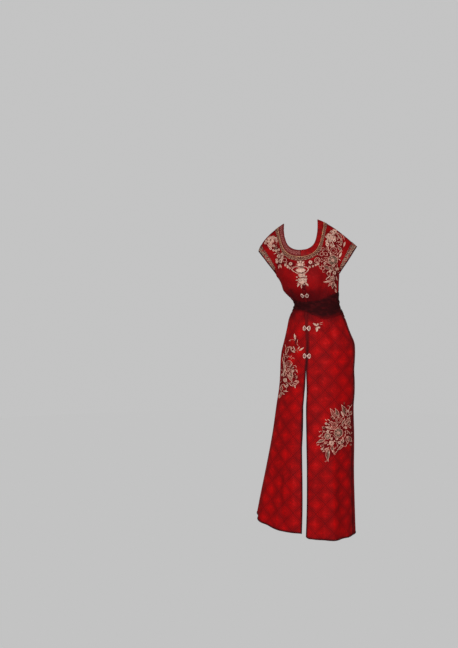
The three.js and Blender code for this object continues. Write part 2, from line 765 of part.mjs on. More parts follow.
// One stretch of the sash, laid on the robe's own columns. Each place is [side, column].
function sash(halves, places) {
  const points = new Map();
  const lifts = new Map();
  const clearances = new Map();
  const cells = [];
  places.forEach(([side, column], i) => {
    const place = sideSign(side) * columnPlace(side, column, SASH[0].z);
    const centre = readAt(SASH, "u", place, "z");
    const width = readAt(SASH, "u", place, "half");
    for (let row = 0; row <= SASH_ROWS; row++) {
      const share = (2 * row) / SASH_ROWS - 1;
      const key = `${row},${i}`;
      points.set(key, onColumn(halves[side], column, centre + width * share));
      lifts.set(key, sashThickness(place, share));
      clearances.set(key, SASH_CLEAR + (column <= 1 ? SASH_OVER_BINDING : 0));
      if (row === SASH_ROWS || i === places.length - 1) continue;
      const next = [`${row},${i + 1}`, `${row + 1},${i + 1}`, `${row + 1},${i}`];
      cells.push({ corners: [key, ...next] });
    }
  });
  return wall(points, cells, (key) => clearances.get(key), (key) => lifts.get(key));
}

// Columns from one to another, both included.
function columns(side, from, to) {
  const step = Math.sign(to - from);
  return Array.from({ length: Math.abs(to - from) + 1 }, (_, i) => [side, from + i * step]);
}

const halves = { right: halfGrid("right"), left: halfGrid("left") };
const frontPlaces = [...columns("right", SIDE_COLUMNS, 1), ...columns("left", 1, SIDE_COLUMNS)];
const backPlaces = [
  ...columns("left", LAST - SIDE_COLUMNS, LAST - 1),
  ...columns("right", LAST - 1, LAST - SIDE_COLUMNS),
];

const robe = new THREE.Group();
robe.add(half("right", halves.right), half("left", halves.left));
robe.add(piece("sash_front", sash(halves, frontPlaces), "sash"));
robe.add(piece("sash_back", sash(halves, backPlaces), "sash"));

export default robe;
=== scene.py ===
"""Looks of a long Ming-style over-robe in its worn form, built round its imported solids.

The cloth is a thin shell on the solids' own form, worked out here again from the robe's levels,
neckline and shoulders, with finer creases. Bands, sash, clasps and thread work lie on it.
The scene is in metres and the robe's own sizes are in millimetres; +Z up, the front faces -Y,
the wearer's left is +X.
"""

import logging
import math
import random
from dataclasses import dataclass, field
from enum import Enum

import bpy
import numpy as np
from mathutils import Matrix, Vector
from mathutils.bvhtree import BVHTree


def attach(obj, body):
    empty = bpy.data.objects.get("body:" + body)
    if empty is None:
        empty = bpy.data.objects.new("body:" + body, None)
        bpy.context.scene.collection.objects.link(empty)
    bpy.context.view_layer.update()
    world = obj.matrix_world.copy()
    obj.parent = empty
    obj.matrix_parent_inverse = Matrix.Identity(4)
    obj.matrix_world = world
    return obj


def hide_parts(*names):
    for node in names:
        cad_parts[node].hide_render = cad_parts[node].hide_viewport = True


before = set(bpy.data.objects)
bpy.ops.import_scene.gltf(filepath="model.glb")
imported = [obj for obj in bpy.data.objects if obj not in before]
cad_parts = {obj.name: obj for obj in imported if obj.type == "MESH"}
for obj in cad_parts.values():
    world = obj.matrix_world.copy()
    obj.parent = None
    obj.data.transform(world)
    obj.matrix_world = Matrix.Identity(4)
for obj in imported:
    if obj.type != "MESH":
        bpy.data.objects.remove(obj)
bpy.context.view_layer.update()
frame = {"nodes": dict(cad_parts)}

LOG = logging.getLogger("robe")
MM = 0.001
Colour = tuple[float, float, float, float]
Columns = dict[str, np.ndarray]


def table(names: str, *rows: tuple[float, ...]) -> Columns:
    """Names the columns of a short table.

    Args:
        names: the columns' names, parted by spaces.
        rows: one tuple for each level, point or fold.

    Returns:
        One array for each column.
    """
    return {name: np.array([row[i] for row in rows], float) for i, name in enumerate(names.split())}


def smooth(t: float | np.ndarray) -> float | np.ndarray:
    """Rises softly from 0 to 1 as t does."""
    s = np.clip(t, 0.0, 1.0)
    return s * s * (3 - 2 * s)


def read_at(rows: Columns, key: str, at: float | np.ndarray, column: str) -> np.ndarray:
    """Reads a column at a value of its key column, on a smooth curve through the rows.

    Args:
        rows: the table.
        key: the column that orders it.
        at: where it is read.
        column: the column that is read.

    Returns:
        The value, or one for each place.
    """
    order = np.argsort(rows[key])
    k, v = rows[key][order], rows[column][order]
    last = len(k) - 1
    at = np.clip(at, k[0], k[-1])
    i = np.clip(np.searchsorted(k, at, side="left") - 1, 0, last - 1)
    before, after = np.maximum(i - 1, 0), np.minimum(i + 2, last)
    step = k[i + 1] - k[i]
    t = (at - k[i]) / step
    start = (v[i + 1] - v[before]) / (k[i + 1] - k[before]) * step
    end = (v[after] - v[i]) / (k[after] - k[i]) * step
    return (
        (2 * t**3 - 3 * t**2 + 1) * v[i]
        + (t**3 - 2 * t**2 + t) * start
        + (3 * t**2 - 2 * t**3) * v[i + 1]
        + (t**3 - t**2) * end
    )


def unit(v: np.ndarray) -> np.ndarray:
    """The same directions, one long."""
    return v / np.maximum(np.linalg.norm(v, axis=-1, keepdims=True), 1e-12)


def arc_length(points: np.ndarray, axis: int = 0) -> np.ndarray:
    """Arc length from the first point of each line of points.

    Args:
        points: the points, their coordinates last.
        axis: which way the lines run.

    Returns:
        The length at each point.
    """
    run = np.cumsum(np.linalg.norm(np.diff(points, axis=axis), axis=-1), axis)
    return np.concatenate([np.zeros_like(run.take([0], axis)), run], axis)


def line_at(line: np.ndarray, run: np.ndarray, at: float | np.ndarray) -> np.ndarray:
    """Reads a line of points between its own.

    Args:
        line: the points.
        run: a rising number for each, such as its arc length.
        at: where it is read, in the same numbers.

    Returns:
        The point, or one for each place.
    """
    return np.stack([np.interp(at, run, line[:, i]) for i in range(line.shape[1])], -1)


def grid_cells(ids: np.ndarray) -> np.ndarray:
    """The corners of every cell between the rows and columns of numbered points."""
    return np.stack([ids[:-1, :-1], ids[:-1, 1:], ids[1:, 1:], ids[1:, :-1]], 2).reshape(-1, 4)


def spline(points: np.ndarray, at: np.ndarray) -> np.ndarray:
    """Smooth curves through rows of points, spaced by their chords.

    Args:
        points: the points, first axis along the curves, second axis one curve each.
        at: places along the curves, counted in points.

    Returns:
        The curves' points at those places.
    """
    chord = np.maximum(np.linalg.norm(points[1:] - points[:-1], axis=-1, keepdims=True), 1e-9)
    slope = (points[1:] - points[:-1]) / chord
    inner = (slope[:-1] * chord[1:] + slope[1:] * chord[:-1]) / (chord[1:] + chord[:-1])
    first = (3 * slope[:1] - inner[:1]) / 2
    last = (3 * slope[-1:] - inner[-1:]) / 2
    tangent = np.concatenate([first, inner, last])
    i = np.clip(at.astype(int), 0, len(points) - 2)
    t = (at - i)[:, None, None]
    return (
        (2 * t**3 - 3 * t**2 + 1) * points[i]
        + (t**3 - 2 * t**2 + t) * tangent[i] * chord[i]
        + (3 * t**2 - 2 * t**3) * points[i + 1]
        + (t**3 - t**2) * tangent[i + 1] * chord[i]
    )


class Side(Enum):
    """A half of the robe, by the wearer's own side."""

    RIGHT = "right"
    LEFT = "left"

    @property
    def sign(self) -> int:
        """Which way its X runs from the centre line."""
        return 1 if self is Side.LEFT else -1


@dataclass(frozen=True)
class RobeCut:
    """Driving sizes of the robe, in millimetres, and how its net of points is laid out."""

    cloth: float = 1.6
    lift: float = 0.35
    trim: float = 1.0
    drawn_in: float = 0.2
    binding: float = 4.5
    collar: float = 28
    piping: float = 3
    lace: float = 15
    cuff_top: float = 30
    cuff_under: float = 17
    centre: float = 0.15
    underarm: float = -222
    binding_top: float = -285
    vent_top: float = -560
    neck_share: float = 5 / 9
    side_columns: int = 12
    sleeve_columns: int = 6
    yoke_rows: int = 8
    tension_passes: int = 8
    tension_middle: float = 1.5
    tension_columns: float = 3.2

    @property
    def ridge(self) -> int:
        """The column that is the shoulder fold."""
        return self.side_columns + self.sleeve_columns

    @property
    def last(self) -> int:
        """The column at the centre back."""
        return 2 * self.ridge


CUT = RobeCut()

# The body from underarm to hem: reach to each side, depth before and behind, turn and slips.
LEVELS = table(
    "z right left front back turn front_slip back_slip y",
    (-222, -103, 160, 116, 100, 10, 0, 6, 0),
    (-256, -83, 158, 116, 97, 11.5, 0, 8, -1),
    (-288, -72, 157, 107, 95, 15, 0, 10, -1),
    (-308, -53, 158, 96, 91, 21, 0, 13, 0),
    (-328, -32, 157, 87, 86, 28, 0, 15, 1),
    (-345, -24, 159, 84, 85, 30, 0, 16, 2),
    (-368, -31, 167, 89, 91, 28.5, 0, 16, 2),
    (-405, -47, 185, 101, 104, 26, 0, 16, 2),
    (-455, -59, 203, 110, 120, 24, 0, 16, 2),
    (-505, -71, 223, 117, 129, 23.5, 0, 16, 3),
    (-556, -82, 226, 121, 129, 21.5, 0, 16, 3),
    (-620, -85, 223, 125, 125, 21.5, 0, 16.5, 3),
    (-690, -89, 225, 127, 124, 21.5, 0, 16.5, 3),
    (-770, -102, 219, 131, 127, 20, 1, 16.5, 3),
    (-900, -121, 219, 137, 134, 20, 4.5, 15, 4),
    (-1040, -147, 216, 143, 142, 20, 10, 13.5, 5),
    (-1180, -175, 219, 148, 149, 20, 13.5, 12.5, 6),
    (-1300, -197, 223, 152, 154, 20, 14.7, 12, 6),
)

# How far each edge stands from the centre line where fronts and vent hang open.
OPENINGS = table(
    "z front_right front_left back_right back_left",
    (-540, 0, 0, 0, 0),
    (-590, 0, 0, 31, 1),
    (-625, 0.5, 0.5, 54, 2),
    (-690, 4, 4, 55, 4),
    (-760, 5.8, 5.8, 51, 7),
    (-800, 7, 7, 48, 9),
    (-925, 8.8, 9.6, 44, 13),
    (-1100, 7, 9.9, 38, 18),
    (-1300, 6.5, 9.9, 35, 22),
)

# Hem height from the centre front (0) round to the centre back (1).
HEM = {
    Side.RIGHT: table(
        "u z",
        (0, -1276),
        (0.1, -1275),
        (0.2, -1270),
        (0.3, -1255),
        (0.4, -1241),
        (0.55, -1240),
        (1, -1258),
    ),
    Side.LEFT: table("u z", (0, -1287), (0.1, -1297), (0.25, -1301), (0.5, -1296), (1, -1282)),
}

# The neckline, from the centre front over the neck point to the centre back.
NECKLINE = {
    Side.LEFT: table(
        "x y z",
        (0, -98, -124),
        (28, -93, -119),
        (52, -75, -101),
        (66, -49, -64),
        (70, -20, -24),
        (70, 8, 8),
        (69, 38, -42),
        (56, 68, -88),
        (32, 86, -108),
        (10, 92, -112),
    ),
    Side.RIGHT: table(
        "x y z",
        (0, -98, -124),
        (-27, -91, -120),
        (-50, -70, -104),
        (-64, -42, -73),
        (-70, -13, -38),
        (-70, 16, -8),
        (-68, 46, -62),
        (-50, 74, -102),
        (-18, 90, -113),
        (10, 92, -112),
    ),
}


@dataclass(frozen=True)
class Shoulder:
    """Where a short sleeve ends, and which way the shoulder fold runs at both its ends."""

    tip: tuple[float, float, float]
    half_depth: float
    from_tip: tuple[float, float, float]
    from_neck: tuple[float, float, float]


SHOULDERS = {
    Side.LEFT: Shoulder((232, -32, -109), 50, (-0.74, 0.1, 0.67), (0.92, -0.12, -0.36)),
    Side.RIGHT: Shoulder((-178, 34, -123), 48, (0.3, -0.1, 0.94), (-0.84, 0.12, -0.53)),
}

# Which way the shoulder surface leaves its lower edge, by column from the centre.
DEPART = table(
    "steps towards away up",
    (6, 0.05, 0.05, 1),
    (8, 0.12, 0.2, 0.97),
    (10, 0.22, 0.48, 0.85),
    (12, 0.34, 0.7, 0.62),
    (13, 0.48, 0.6, 0.62),
    (14, 0.62, 0.46, 0.62),
    (15, 0.74, 0.28, 0.6),
    (16, 0.78, 0.12, 0.6),
)

# The largest folds: place round the body, drift by the hem, heights, width and depth.
FOLDS = table(
    "u drift top full width depth",
    (-0.2, -0.02, -760, -1180, 24, -9),
    (-0.3, 0, -860, -1240, 26, 8),
    (-0.4, 0.02, -620, -1100, 24, -7),
    (0.13, 0.01, -860, -1240, 26, -6),
    (0.24, 0, -700, -1200, 34, 8),
    (0.36, -0.01, -640, -1150, 26, -7),
    (-0.58, 0, -560, -1100, 28, 9),
    (-0.67, 0, -600, -1150, 26, -9),
    (-0.77, 0.01, -640, -1180, 28, 9),
    (-0.86, 0.02, -640, -1150, 24, -8),
    (0.57, 0, -560, -1120, 28, 9),
    (0.66, 0, -600, -1150, 26, -9),
    (0.75, -0.01, -620, -1180, 28, 10),
    (0.85, -0.02, -640, -1150, 26, -9),
)

# The crushed sash: its middle height and half width round the body.
SASH = table(
    "u z half",
    (-1, -356, 44),
    (-0.75, -352, 38),
    (-0.5, -347, 29),
    (-0.25, -350, 24),
    (0, -357, 22),
    (0.2, -366, 40),
    (0.35, -361, 56),
    (0.5, -352, 54),
    (0.75, -354, 48),
    (1, -356, 44),
)

# Heights of the body's rows from the hem up. The first two follow the hem, so theirs aren't read.
ROW_HEIGHTS = (
    0, 0, -1225, -1170, -1112, -1054, -996, -938, -880, -822, -764, -712, -664, -620, -580, -542, -505,
    -470, -438, -410, -388, -368, -352, -336, -320, -304, -288, -268, -246, -222,
)
UNDERARM_ROW = len(ROW_HEIGHTS) - 1
TOP_ROW = UNDERARM_ROW + CUT.yoke_rows

# Finer creases, seen from the front or the back: a soft line from x, z to x2, z2. Depth is
# negative in a trough.
CREASES = table(
    "face x z x2 z2 width depth",
    (-1, -70, -232, -22, -282, 8, -2.2),
    (-1, -92, -206, -48, -262, 10, 2.0),
    (-1, -48, -292, -12, -318, 6, -1.8),
    (-1, -58, -262, -30, -300, 7, 1.6),
    (-1, 24, -214, 44, -290, 12, -1.6),
    (-1, 66, -196, 74, -284, 11, 1.8),
    (-1, 98, -216, 92, -298, 8, -2.2),
    (-1, 128, -214, 118, -292, 9, 2.2),
    (-1, 146, -228, 140, -300, 7, -1.8),
    (-1, 40, -300, 66, -262, 7, -1.4),
    (-1, -20, -392, -34, -470, 7, -1.8),
    (-1, -4, -398, -8, -456, 5, 1.4),
    (-1, 22, -402, 16, -470, 6, -1.6),
    (-1, 56, -416, 60, -520, 9, -1.8),
    (-1, 84, -424, 96, -540, 8, 1.8),
    (-1, 112, -424, 138, -560, 10, -2.4),
    (-1, 140, -410, 176, -520, 8, 1.8),
    (-1, 46, -580, 70, -760, 14, -2.4),
    (-1, 96, -600, 104, -840, 16, 2.4),
    (-1, 150, -560, 168, -800, 14, -2.2),
    (-1, -60, -520, -64, -700, 10, -2.0),
    (-1, -36, -560, -40, -760, 12, 1.8),
    (-1, 60, -880, 44, -1230, 16, -2.6),
    (-1, 120, -900, 112, -1270, 20, 3.0),
    (-1, 168, -860, 182, -1260, 16, -2.6),
    (-1, -84, -860, -96, -1220, 14, 2.6),
    (-1, -58, -960, -66, -1262, 11, -7.0),
    (-1, -40, -1000, -46, -1240, 12, 3.4),
    (-1, -118, -980, -150, -1230, 12, -2.2),
    (-1, -150, -160, -112, -176, 7, -1.6),
    (-1, 150, -120, 186, -168, 9, -1.8),
    (-1, 112, -140, 150, -206, 10, 1.8),
    (1, -78, -214, -30, -296, 10, -2.2),
    (1, -40, -190, -8, -300, 12, 2.0),
    (1, 60, -170, 50, -300, 12, -2.2),
    (1, 104, -190, 84, -296, 10, 2.2),
    (1, 140, -226, 120, -304, 8, -1.8),
    (1, 20, -230, 28, -310, 8, -1.6),
    (1, -40, -410, -66, -520, 9, -2.2),
    (1, 12, -412, 2, -540, 10, 2.0),
    (1, 64, -410, 76, -560, 10, -2.2),
    (1, 116, -408, 150, -520, 9, 2.0),
    (1, 150, -404, 192, -500, 8, -1.8),
    (1, -60, -700, -92, -1180, 16, 2.8),
    (1, -20, -760, -40, -1220, 14, -2.8),
    (1, 96, -720, 104, -1240, 16, -3.0),
    (1, 150, -700, 172, -1240, 18, 2.8),
    (1, 196, -660, 206, -1200, 14, -2.4),
    (1, 130, -90, 186, -150, 9, -1.8),
    (1, -150, -130, -108, -190, 8, -1.6),
)


@dataclass
class RobeForm:
    """The robe's outer face, worked out from its levels, neckline and shoulders."""

    gathers: int = 12
    gather_depth: float = 2.2
    gather_sway: float = 0.35
    gather_start: tuple[float, float] = (-8, 22)
    gather_end: tuple[float, float] = (20, 90)
    edge_roll: float = 6
    edge_roll_width: float = 26
    edge_open: float = 9
    opening_point: float = 1.5
    fullness: float = 0.35
    underarm_fullness: float = 0.2
    # Middle and reach of that fuller stretch, in columns above the underarm.
    underarm_reach: tuple[float, float] = (0.5, 2.5)
    swell: float = 0.42
    turning: tuple[float, float] = (3, 8)
    run_in: float = 20
    # Which way the cloth runs down from the neckline at the centre: out and down.
    neck_slope: tuple[float, float] = (0.32, 0.94)
    curve_cuts: int = 200

    def relief(self, u: float, z: float, girth: float) -> float:
        """How far the cloth stands off the plain section, folds and waist tucks alike.

        Args:
            u: place round the body, -1 and 1 at the centre back.
            z: height.
            girth: arc length for each unit of u.

        Returns:
            Millimetres outwards.
        """
        grown = smooth((FOLDS["top"] - z) / (FOLDS["top"] - FOLDS["full"]))
        away = (u - FOLDS["u"] - FOLDS["drift"] * grown) * girth / FOLDS["width"]
        out = float((FOLDS["depth"] * grown * np.exp(-(away**2))).sum())
        off = abs(z - read_at(SASH, "u", u, "z")) - read_at(SASH, "u", u, "half")
        start, end = self.gather_start, self.gather_end
        near = smooth((off - start[0]) / start[1]) * (1 - smooth((off - end[0]) / end[1]))
        phase = math.pi * (self.gathers * u + self.gather_sway * math.sin(3 * math.pi * u))
        return out + self.gather_depth * near * math.cos(phase)

    def body_point(self, u: float, z: float) -> np.ndarray:
        """A point of the outer face between hem and underarm.

        Args:
            u: place round the body, -1 and 1 at the centre back.
            z: height.

        Returns:
            The point.
        """
        level = {name: float(read_at(LEVELS, "z", z, name)) for name in LEVELS if name != "z"}
        turn = math.radians(level["turn"])
        reach = (level["left"] - level["right"]) / 2
        depth = (level["front"] + level["back"]) / 2
        half = math.sqrt(reach**2 - (depth * math.sin(turn)) ** 2) / math.cos(turn)
        ahead = max(0.0, math.cos(math.pi * u)) ** 2
        behind = max(0.0, -math.cos(math.pi * u)) ** 2
        slip = level["front_slip"] * ahead + level["back_slip"] * behind
        angle = math.pi * u + math.radians(slip)
        deep = level["front"] if math.cos(angle) > 0 else level["back"]
        normal = unit(np.array([math.sin(angle) / half, -math.cos(angle) / deep]))
        out = self.relief(u, z, math.pi * half)
        across = half * math.sin(angle) + normal[0] * out
        along = -deep * math.cos(angle) + normal[1] * out
        middle = (level["left"] + level["right"]) / 2
        x = middle + across * math.cos(turn) + along * math.sin(turn)
        return np.array([x, level["y"] - across * math.sin(turn) + along * math.cos(turn), z])

    def girth(self, z: float) -> float:
        """Arc length of the section for each unit of u, near the centre line."""
        return math.pi * float(read_at(LEVELS, "z", z, "left") - read_at(LEVELS, "z", z, "right")) / 2

    def gap(self, side: Side, is_front: bool, z: float) -> float:
        """How far an edge stands open from the centre line at a height."""
        name = ("front_" if is_front else "back_") + side.value
        return float(read_at(OPENINGS, "z", z, name))

    def place(self, side: Side, column: int, z: float) -> float:
        """A column's place round the body: 0 centre front, 0.5 side seam, 1 centre back.

        Args:
            side: which half.
            column: counted from the centre front.
            z: height.

        Returns:
            The place, without its sign.
        """
        is_front = column <= CUT.side_columns
        steps = column if is_front else CUT.last - column
        edge = (CUT.centre + max(0.0, self.gap(side, is_front, z))) / self.girth(z)
        inner = edge + CUT.binding / self.girth(z)
        share = (steps - 1) / (CUT.side_columns - 1)
        from_edge = edge if steps == 0 else inner + (0.5 - inner) * share
        return from_edge if is_front else 1 - from_edge

    def lower_point(self, side: Side, column: int, z: float) -> np.ndarray:
        """A point of the outer face on one of the columns, below the underarm.

        Args:
            side: which half.
            column: which column.
            z: height.

        Returns:
            The point, rolled inwards beside an open edge.
        """
        place = self.place(side, column, z)
        point = self.body_point(side.sign * place, z)
        is_front = column <= CUT.side_columns
        open_by = self.gap(side, is_front, z)
        from_edge = (place if is_front else 1 - place) * self.girth(z) - open_by
        near = math.exp(-((from_edge / self.edge_roll_width) ** 2))
        roll = self.edge_roll * smooth(open_by / self.edge_open) * near
        middle = float(read_at(LEVELS, "z", z, "left") + read_at(LEVELS, "z", z, "right")) / 2
        inwards = unit(np.array([middle - point[0], -point[1], 0.0]))
        return point + inwards * roll

    def row_height(self, side: Side, column: int, row: int) -> float:
        """Height of a row of the body; the hem's two rows follow the hem.

        Args:
            side: which half.
            column: which column.
            row: counted from the hem.

        Returns:
            The height.
        """
        if row > 1:
            return ROW_HEIGHTS[row]
        steps = column if column <= CUT.side_columns else column - (CUT.last - 2 * CUT.side_columns)
        hem = float(read_at(HEM[side], "u", steps / (2 * CUT.side_columns), "z"))
        return hem if row == 0 else hem + CUT.binding

    def arm_opening(self, side: Side, column: int) -> np.ndarray:
        """A point of the curve round the arm opening, up its front to the tip and down its back.

        Args:
            side: which half.
            column: which column.

        Returns:
            The point.
        """
        shoulder = SHOULDERS[side]
        underarm = self.body_point(side.sign * 0.5, CUT.underarm)
        steps = (column - CUT.side_columns) / CUT.sleeve_columns
        up = steps if steps <= 1 else 2 - steps
        rise = 0.5 * up + 0.25 * (1 - math.cos(math.pi * up))
        depth = shoulder.half_depth * max(0.0, math.sin(math.pi * up)) ** self.opening_point
        point = underarm + (np.array(shoulder.tip, float) - underarm) * rise
        point[1] += -depth if steps <= 1 else depth
        return point

    def neck_point(self, side: Side, column: int) -> np.ndarray:
        """A point of the neckline, on a closed centripetal curve through both sides' points.

        Args:
            side: which half.
            column: which column.

        Returns:
            The point.
        """
        other = Side.LEFT if side is Side.RIGHT else Side.RIGHT
        own, far = (np.stack([NECKLINE[s][c] for c in "xyz"], 1) for s in (side, other))
        loop = np.concatenate([own, far[1:-1][::-1]])
        share = CUT.neck_share
        if column <= CUT.ridge:
            along = share * column / CUT.ridge
        else:
            along = share + (1 - share) * (column - CUT.ridge) / CUT.ridge
        place = along * (len(own) - 1)
        first = int(place)
        t = place - first
        p = [loop[(first + k) % len(loop)] for k in (-1, 0, 1, 2)]
        d = [np.linalg.norm(p[k + 1] - p[k]) ** 0.5 for k in range(3)]
        start = ((p[1] - p[0]) / d[0] - (p[2] - p[0]) / (d[0] + d[1]) + (p[2] - p[1]) / d[1]) * d[1]
        end = ((p[2] - p[1]) / d[1] - (p[3] - p[1]) / (d[1] + d[2]) + (p[3] - p[2]) / d[2]) * d[1]
        square = -3 * p[1] + 3 * p[2] - 2 * start - end
        cube = 2 * p[1] - 2 * p[2] + start + end
        point = p[1] + start * t + square * t**2 + cube * t**3
        point[0] += side.sign * CUT.centre * (1 - smooth(min(column, CUT.last - column)))
        return point

    def yoke_column(self, side: Side, column: int) -> np.ndarray:
        """One column of the shoulder, from the underarm level or the arm opening to the neckline.

        Args:
            side: which half.
            column: which column.

        Returns:
            Its points, with a row on the edge of every band.
        """
        shoulder = SHOULDERS[side]
        is_front = column <= CUT.ridge
        steps = column if is_front else CUT.last - column
        is_body = steps <= CUT.side_columns
        start = self.lower_point(side, column, CUT.underarm) if is_body else self.arm_opening(side, column)
        end = self.neck_point(side, column)
        trunk = min(column, CUT.side_columns) if is_front else max(column, CUT.last - CUT.side_columns)
        top = self.lower_point(side, trunk, CUT.underarm)
        upwards = unit(top - self.lower_point(side, trunk, CUT.underarm - self.run_in))
        towards, away, up = (float(read_at(DEPART, "steps", steps, n)) for n in ("towards", "away", "up"))
        depart = np.array([-side.sign * towards, -away if is_front else away, up])
        turned = smooth((steps - self.turning[0]) / (self.turning[1] - self.turning[0]))
        fold = smooth((steps - CUT.side_columns - 2) / (CUT.sleeve_columns - 2))
        leave = upwards + (depart - upwards) * turned
        leave = unit(leave + (np.array(shoulder.from_tip) - leave) * fold)
        facing = -1 if is_front else 1
        share = steps / CUT.ridge
        out, down = self.neck_slope
        arrive = np.array([0, out * facing, -down])
        arrive = arrive + (np.array(shoulder.from_neck) - arrive) * smooth(share)
        arrive[1] += facing * self.swell * math.sin(math.pi * share) ** 2
        long = float(np.linalg.norm(end - start))
        above, reach = self.underarm_reach
        near = math.exp(-(((steps - CUT.side_columns - above) / reach) ** 2))
        pull = long * (self.fullness + self.underarm_fullness * near)
        knots = [start, start + leave * pull, end + unit(arrive) * long * self.fullness, end]
        t = np.linspace(0, 1, self.curve_cuts + 1)[:, None]
        line = (
            (1 - t) ** 3 * knots[0]
            + 3 * (1 - t) ** 2 * t * knots[1]
            + 3 * (1 - t) * t**2 * knots[2]
            + t**3 * knots[3]
        )
        run = arc_length(line)
        sleeve = max(0, steps - CUT.side_columns) / CUT.sleeve_columns
        cuff = CUT.cuff_under + (CUT.cuff_top - CUT.cuff_under) * sleeve
        bands = [CUT.collar + CUT.piping + CUT.lace, CUT.collar + CUT.piping, CUT.collar, 0]
        neck = [run[-1] - d for d in bands]
        between = CUT.yoke_rows - len(neck)
        middle = [cuff + (neck[0] - cuff) * i / between for i in range(between)]
        rows = np.clip([0, *middle, *neck], 0, run[-1])
        return line_at(line, run, rows)

    def net(self, side: Side) -> tuple[np.ndarray, np.ndarray]:
        """The coarse net of points: body rows for every column, and yoke rows for every column.

        Args:
            side: which half.

        Returns:
            The body's points below the underarm row, and the yoke's from that row up.
        """
        columns = range(CUT.last + 1)
        lower = np.zeros((UNDERARM_ROW, CUT.last + 1, 3))
        for column in columns:
            if min(column, CUT.last - column) > CUT.side_columns:
                continue
            for row in range(UNDERARM_ROW):
                lower[row, column] = self.lower_point(side, column, self.row_height(side, column, row))
        upper = np.stack([self.yoke_column(side, column) for column in columns], 1)
        index = np.arange(CUT.last + 1)
        beside = CUT.side_columns + CUT.tension_middle
        near = np.minimum(abs(index - beside), abs(index - (CUT.last - beside)))
        for _ in range(CUT.tension_passes):
            for row in range(1, CUT.yoke_rows - 2):
                pull = 0.5 * min(1, row / 3) * np.exp(-((near / CUT.tension_columns) ** 2))
                pull[[0, CUT.ridge, CUT.last]] = 0
                line = upper[row]
                between = (np.roll(line, 1, 0) + np.roll(line, -1, 0)) / 2
                upper[row] = line + (between - line) * pull[:, None]
        return lower, upper


def divided(counts: list[int]) -> np.ndarray:
    """Places along a row of points, counted in points, each gap divided into its count."""
    return np.array([*(i + k / n for i, n in enumerate(counts) for k in range(n)), len(counts)])


def grid_normals(points: np.ndarray) -> np.ndarray:
    """Unit normals of a grid of points, rows upwards, columns to the right as seen from outside."""
    return unit(np.cross(np.gradient(points, axis=1), np.gradient(points, axis=0)))


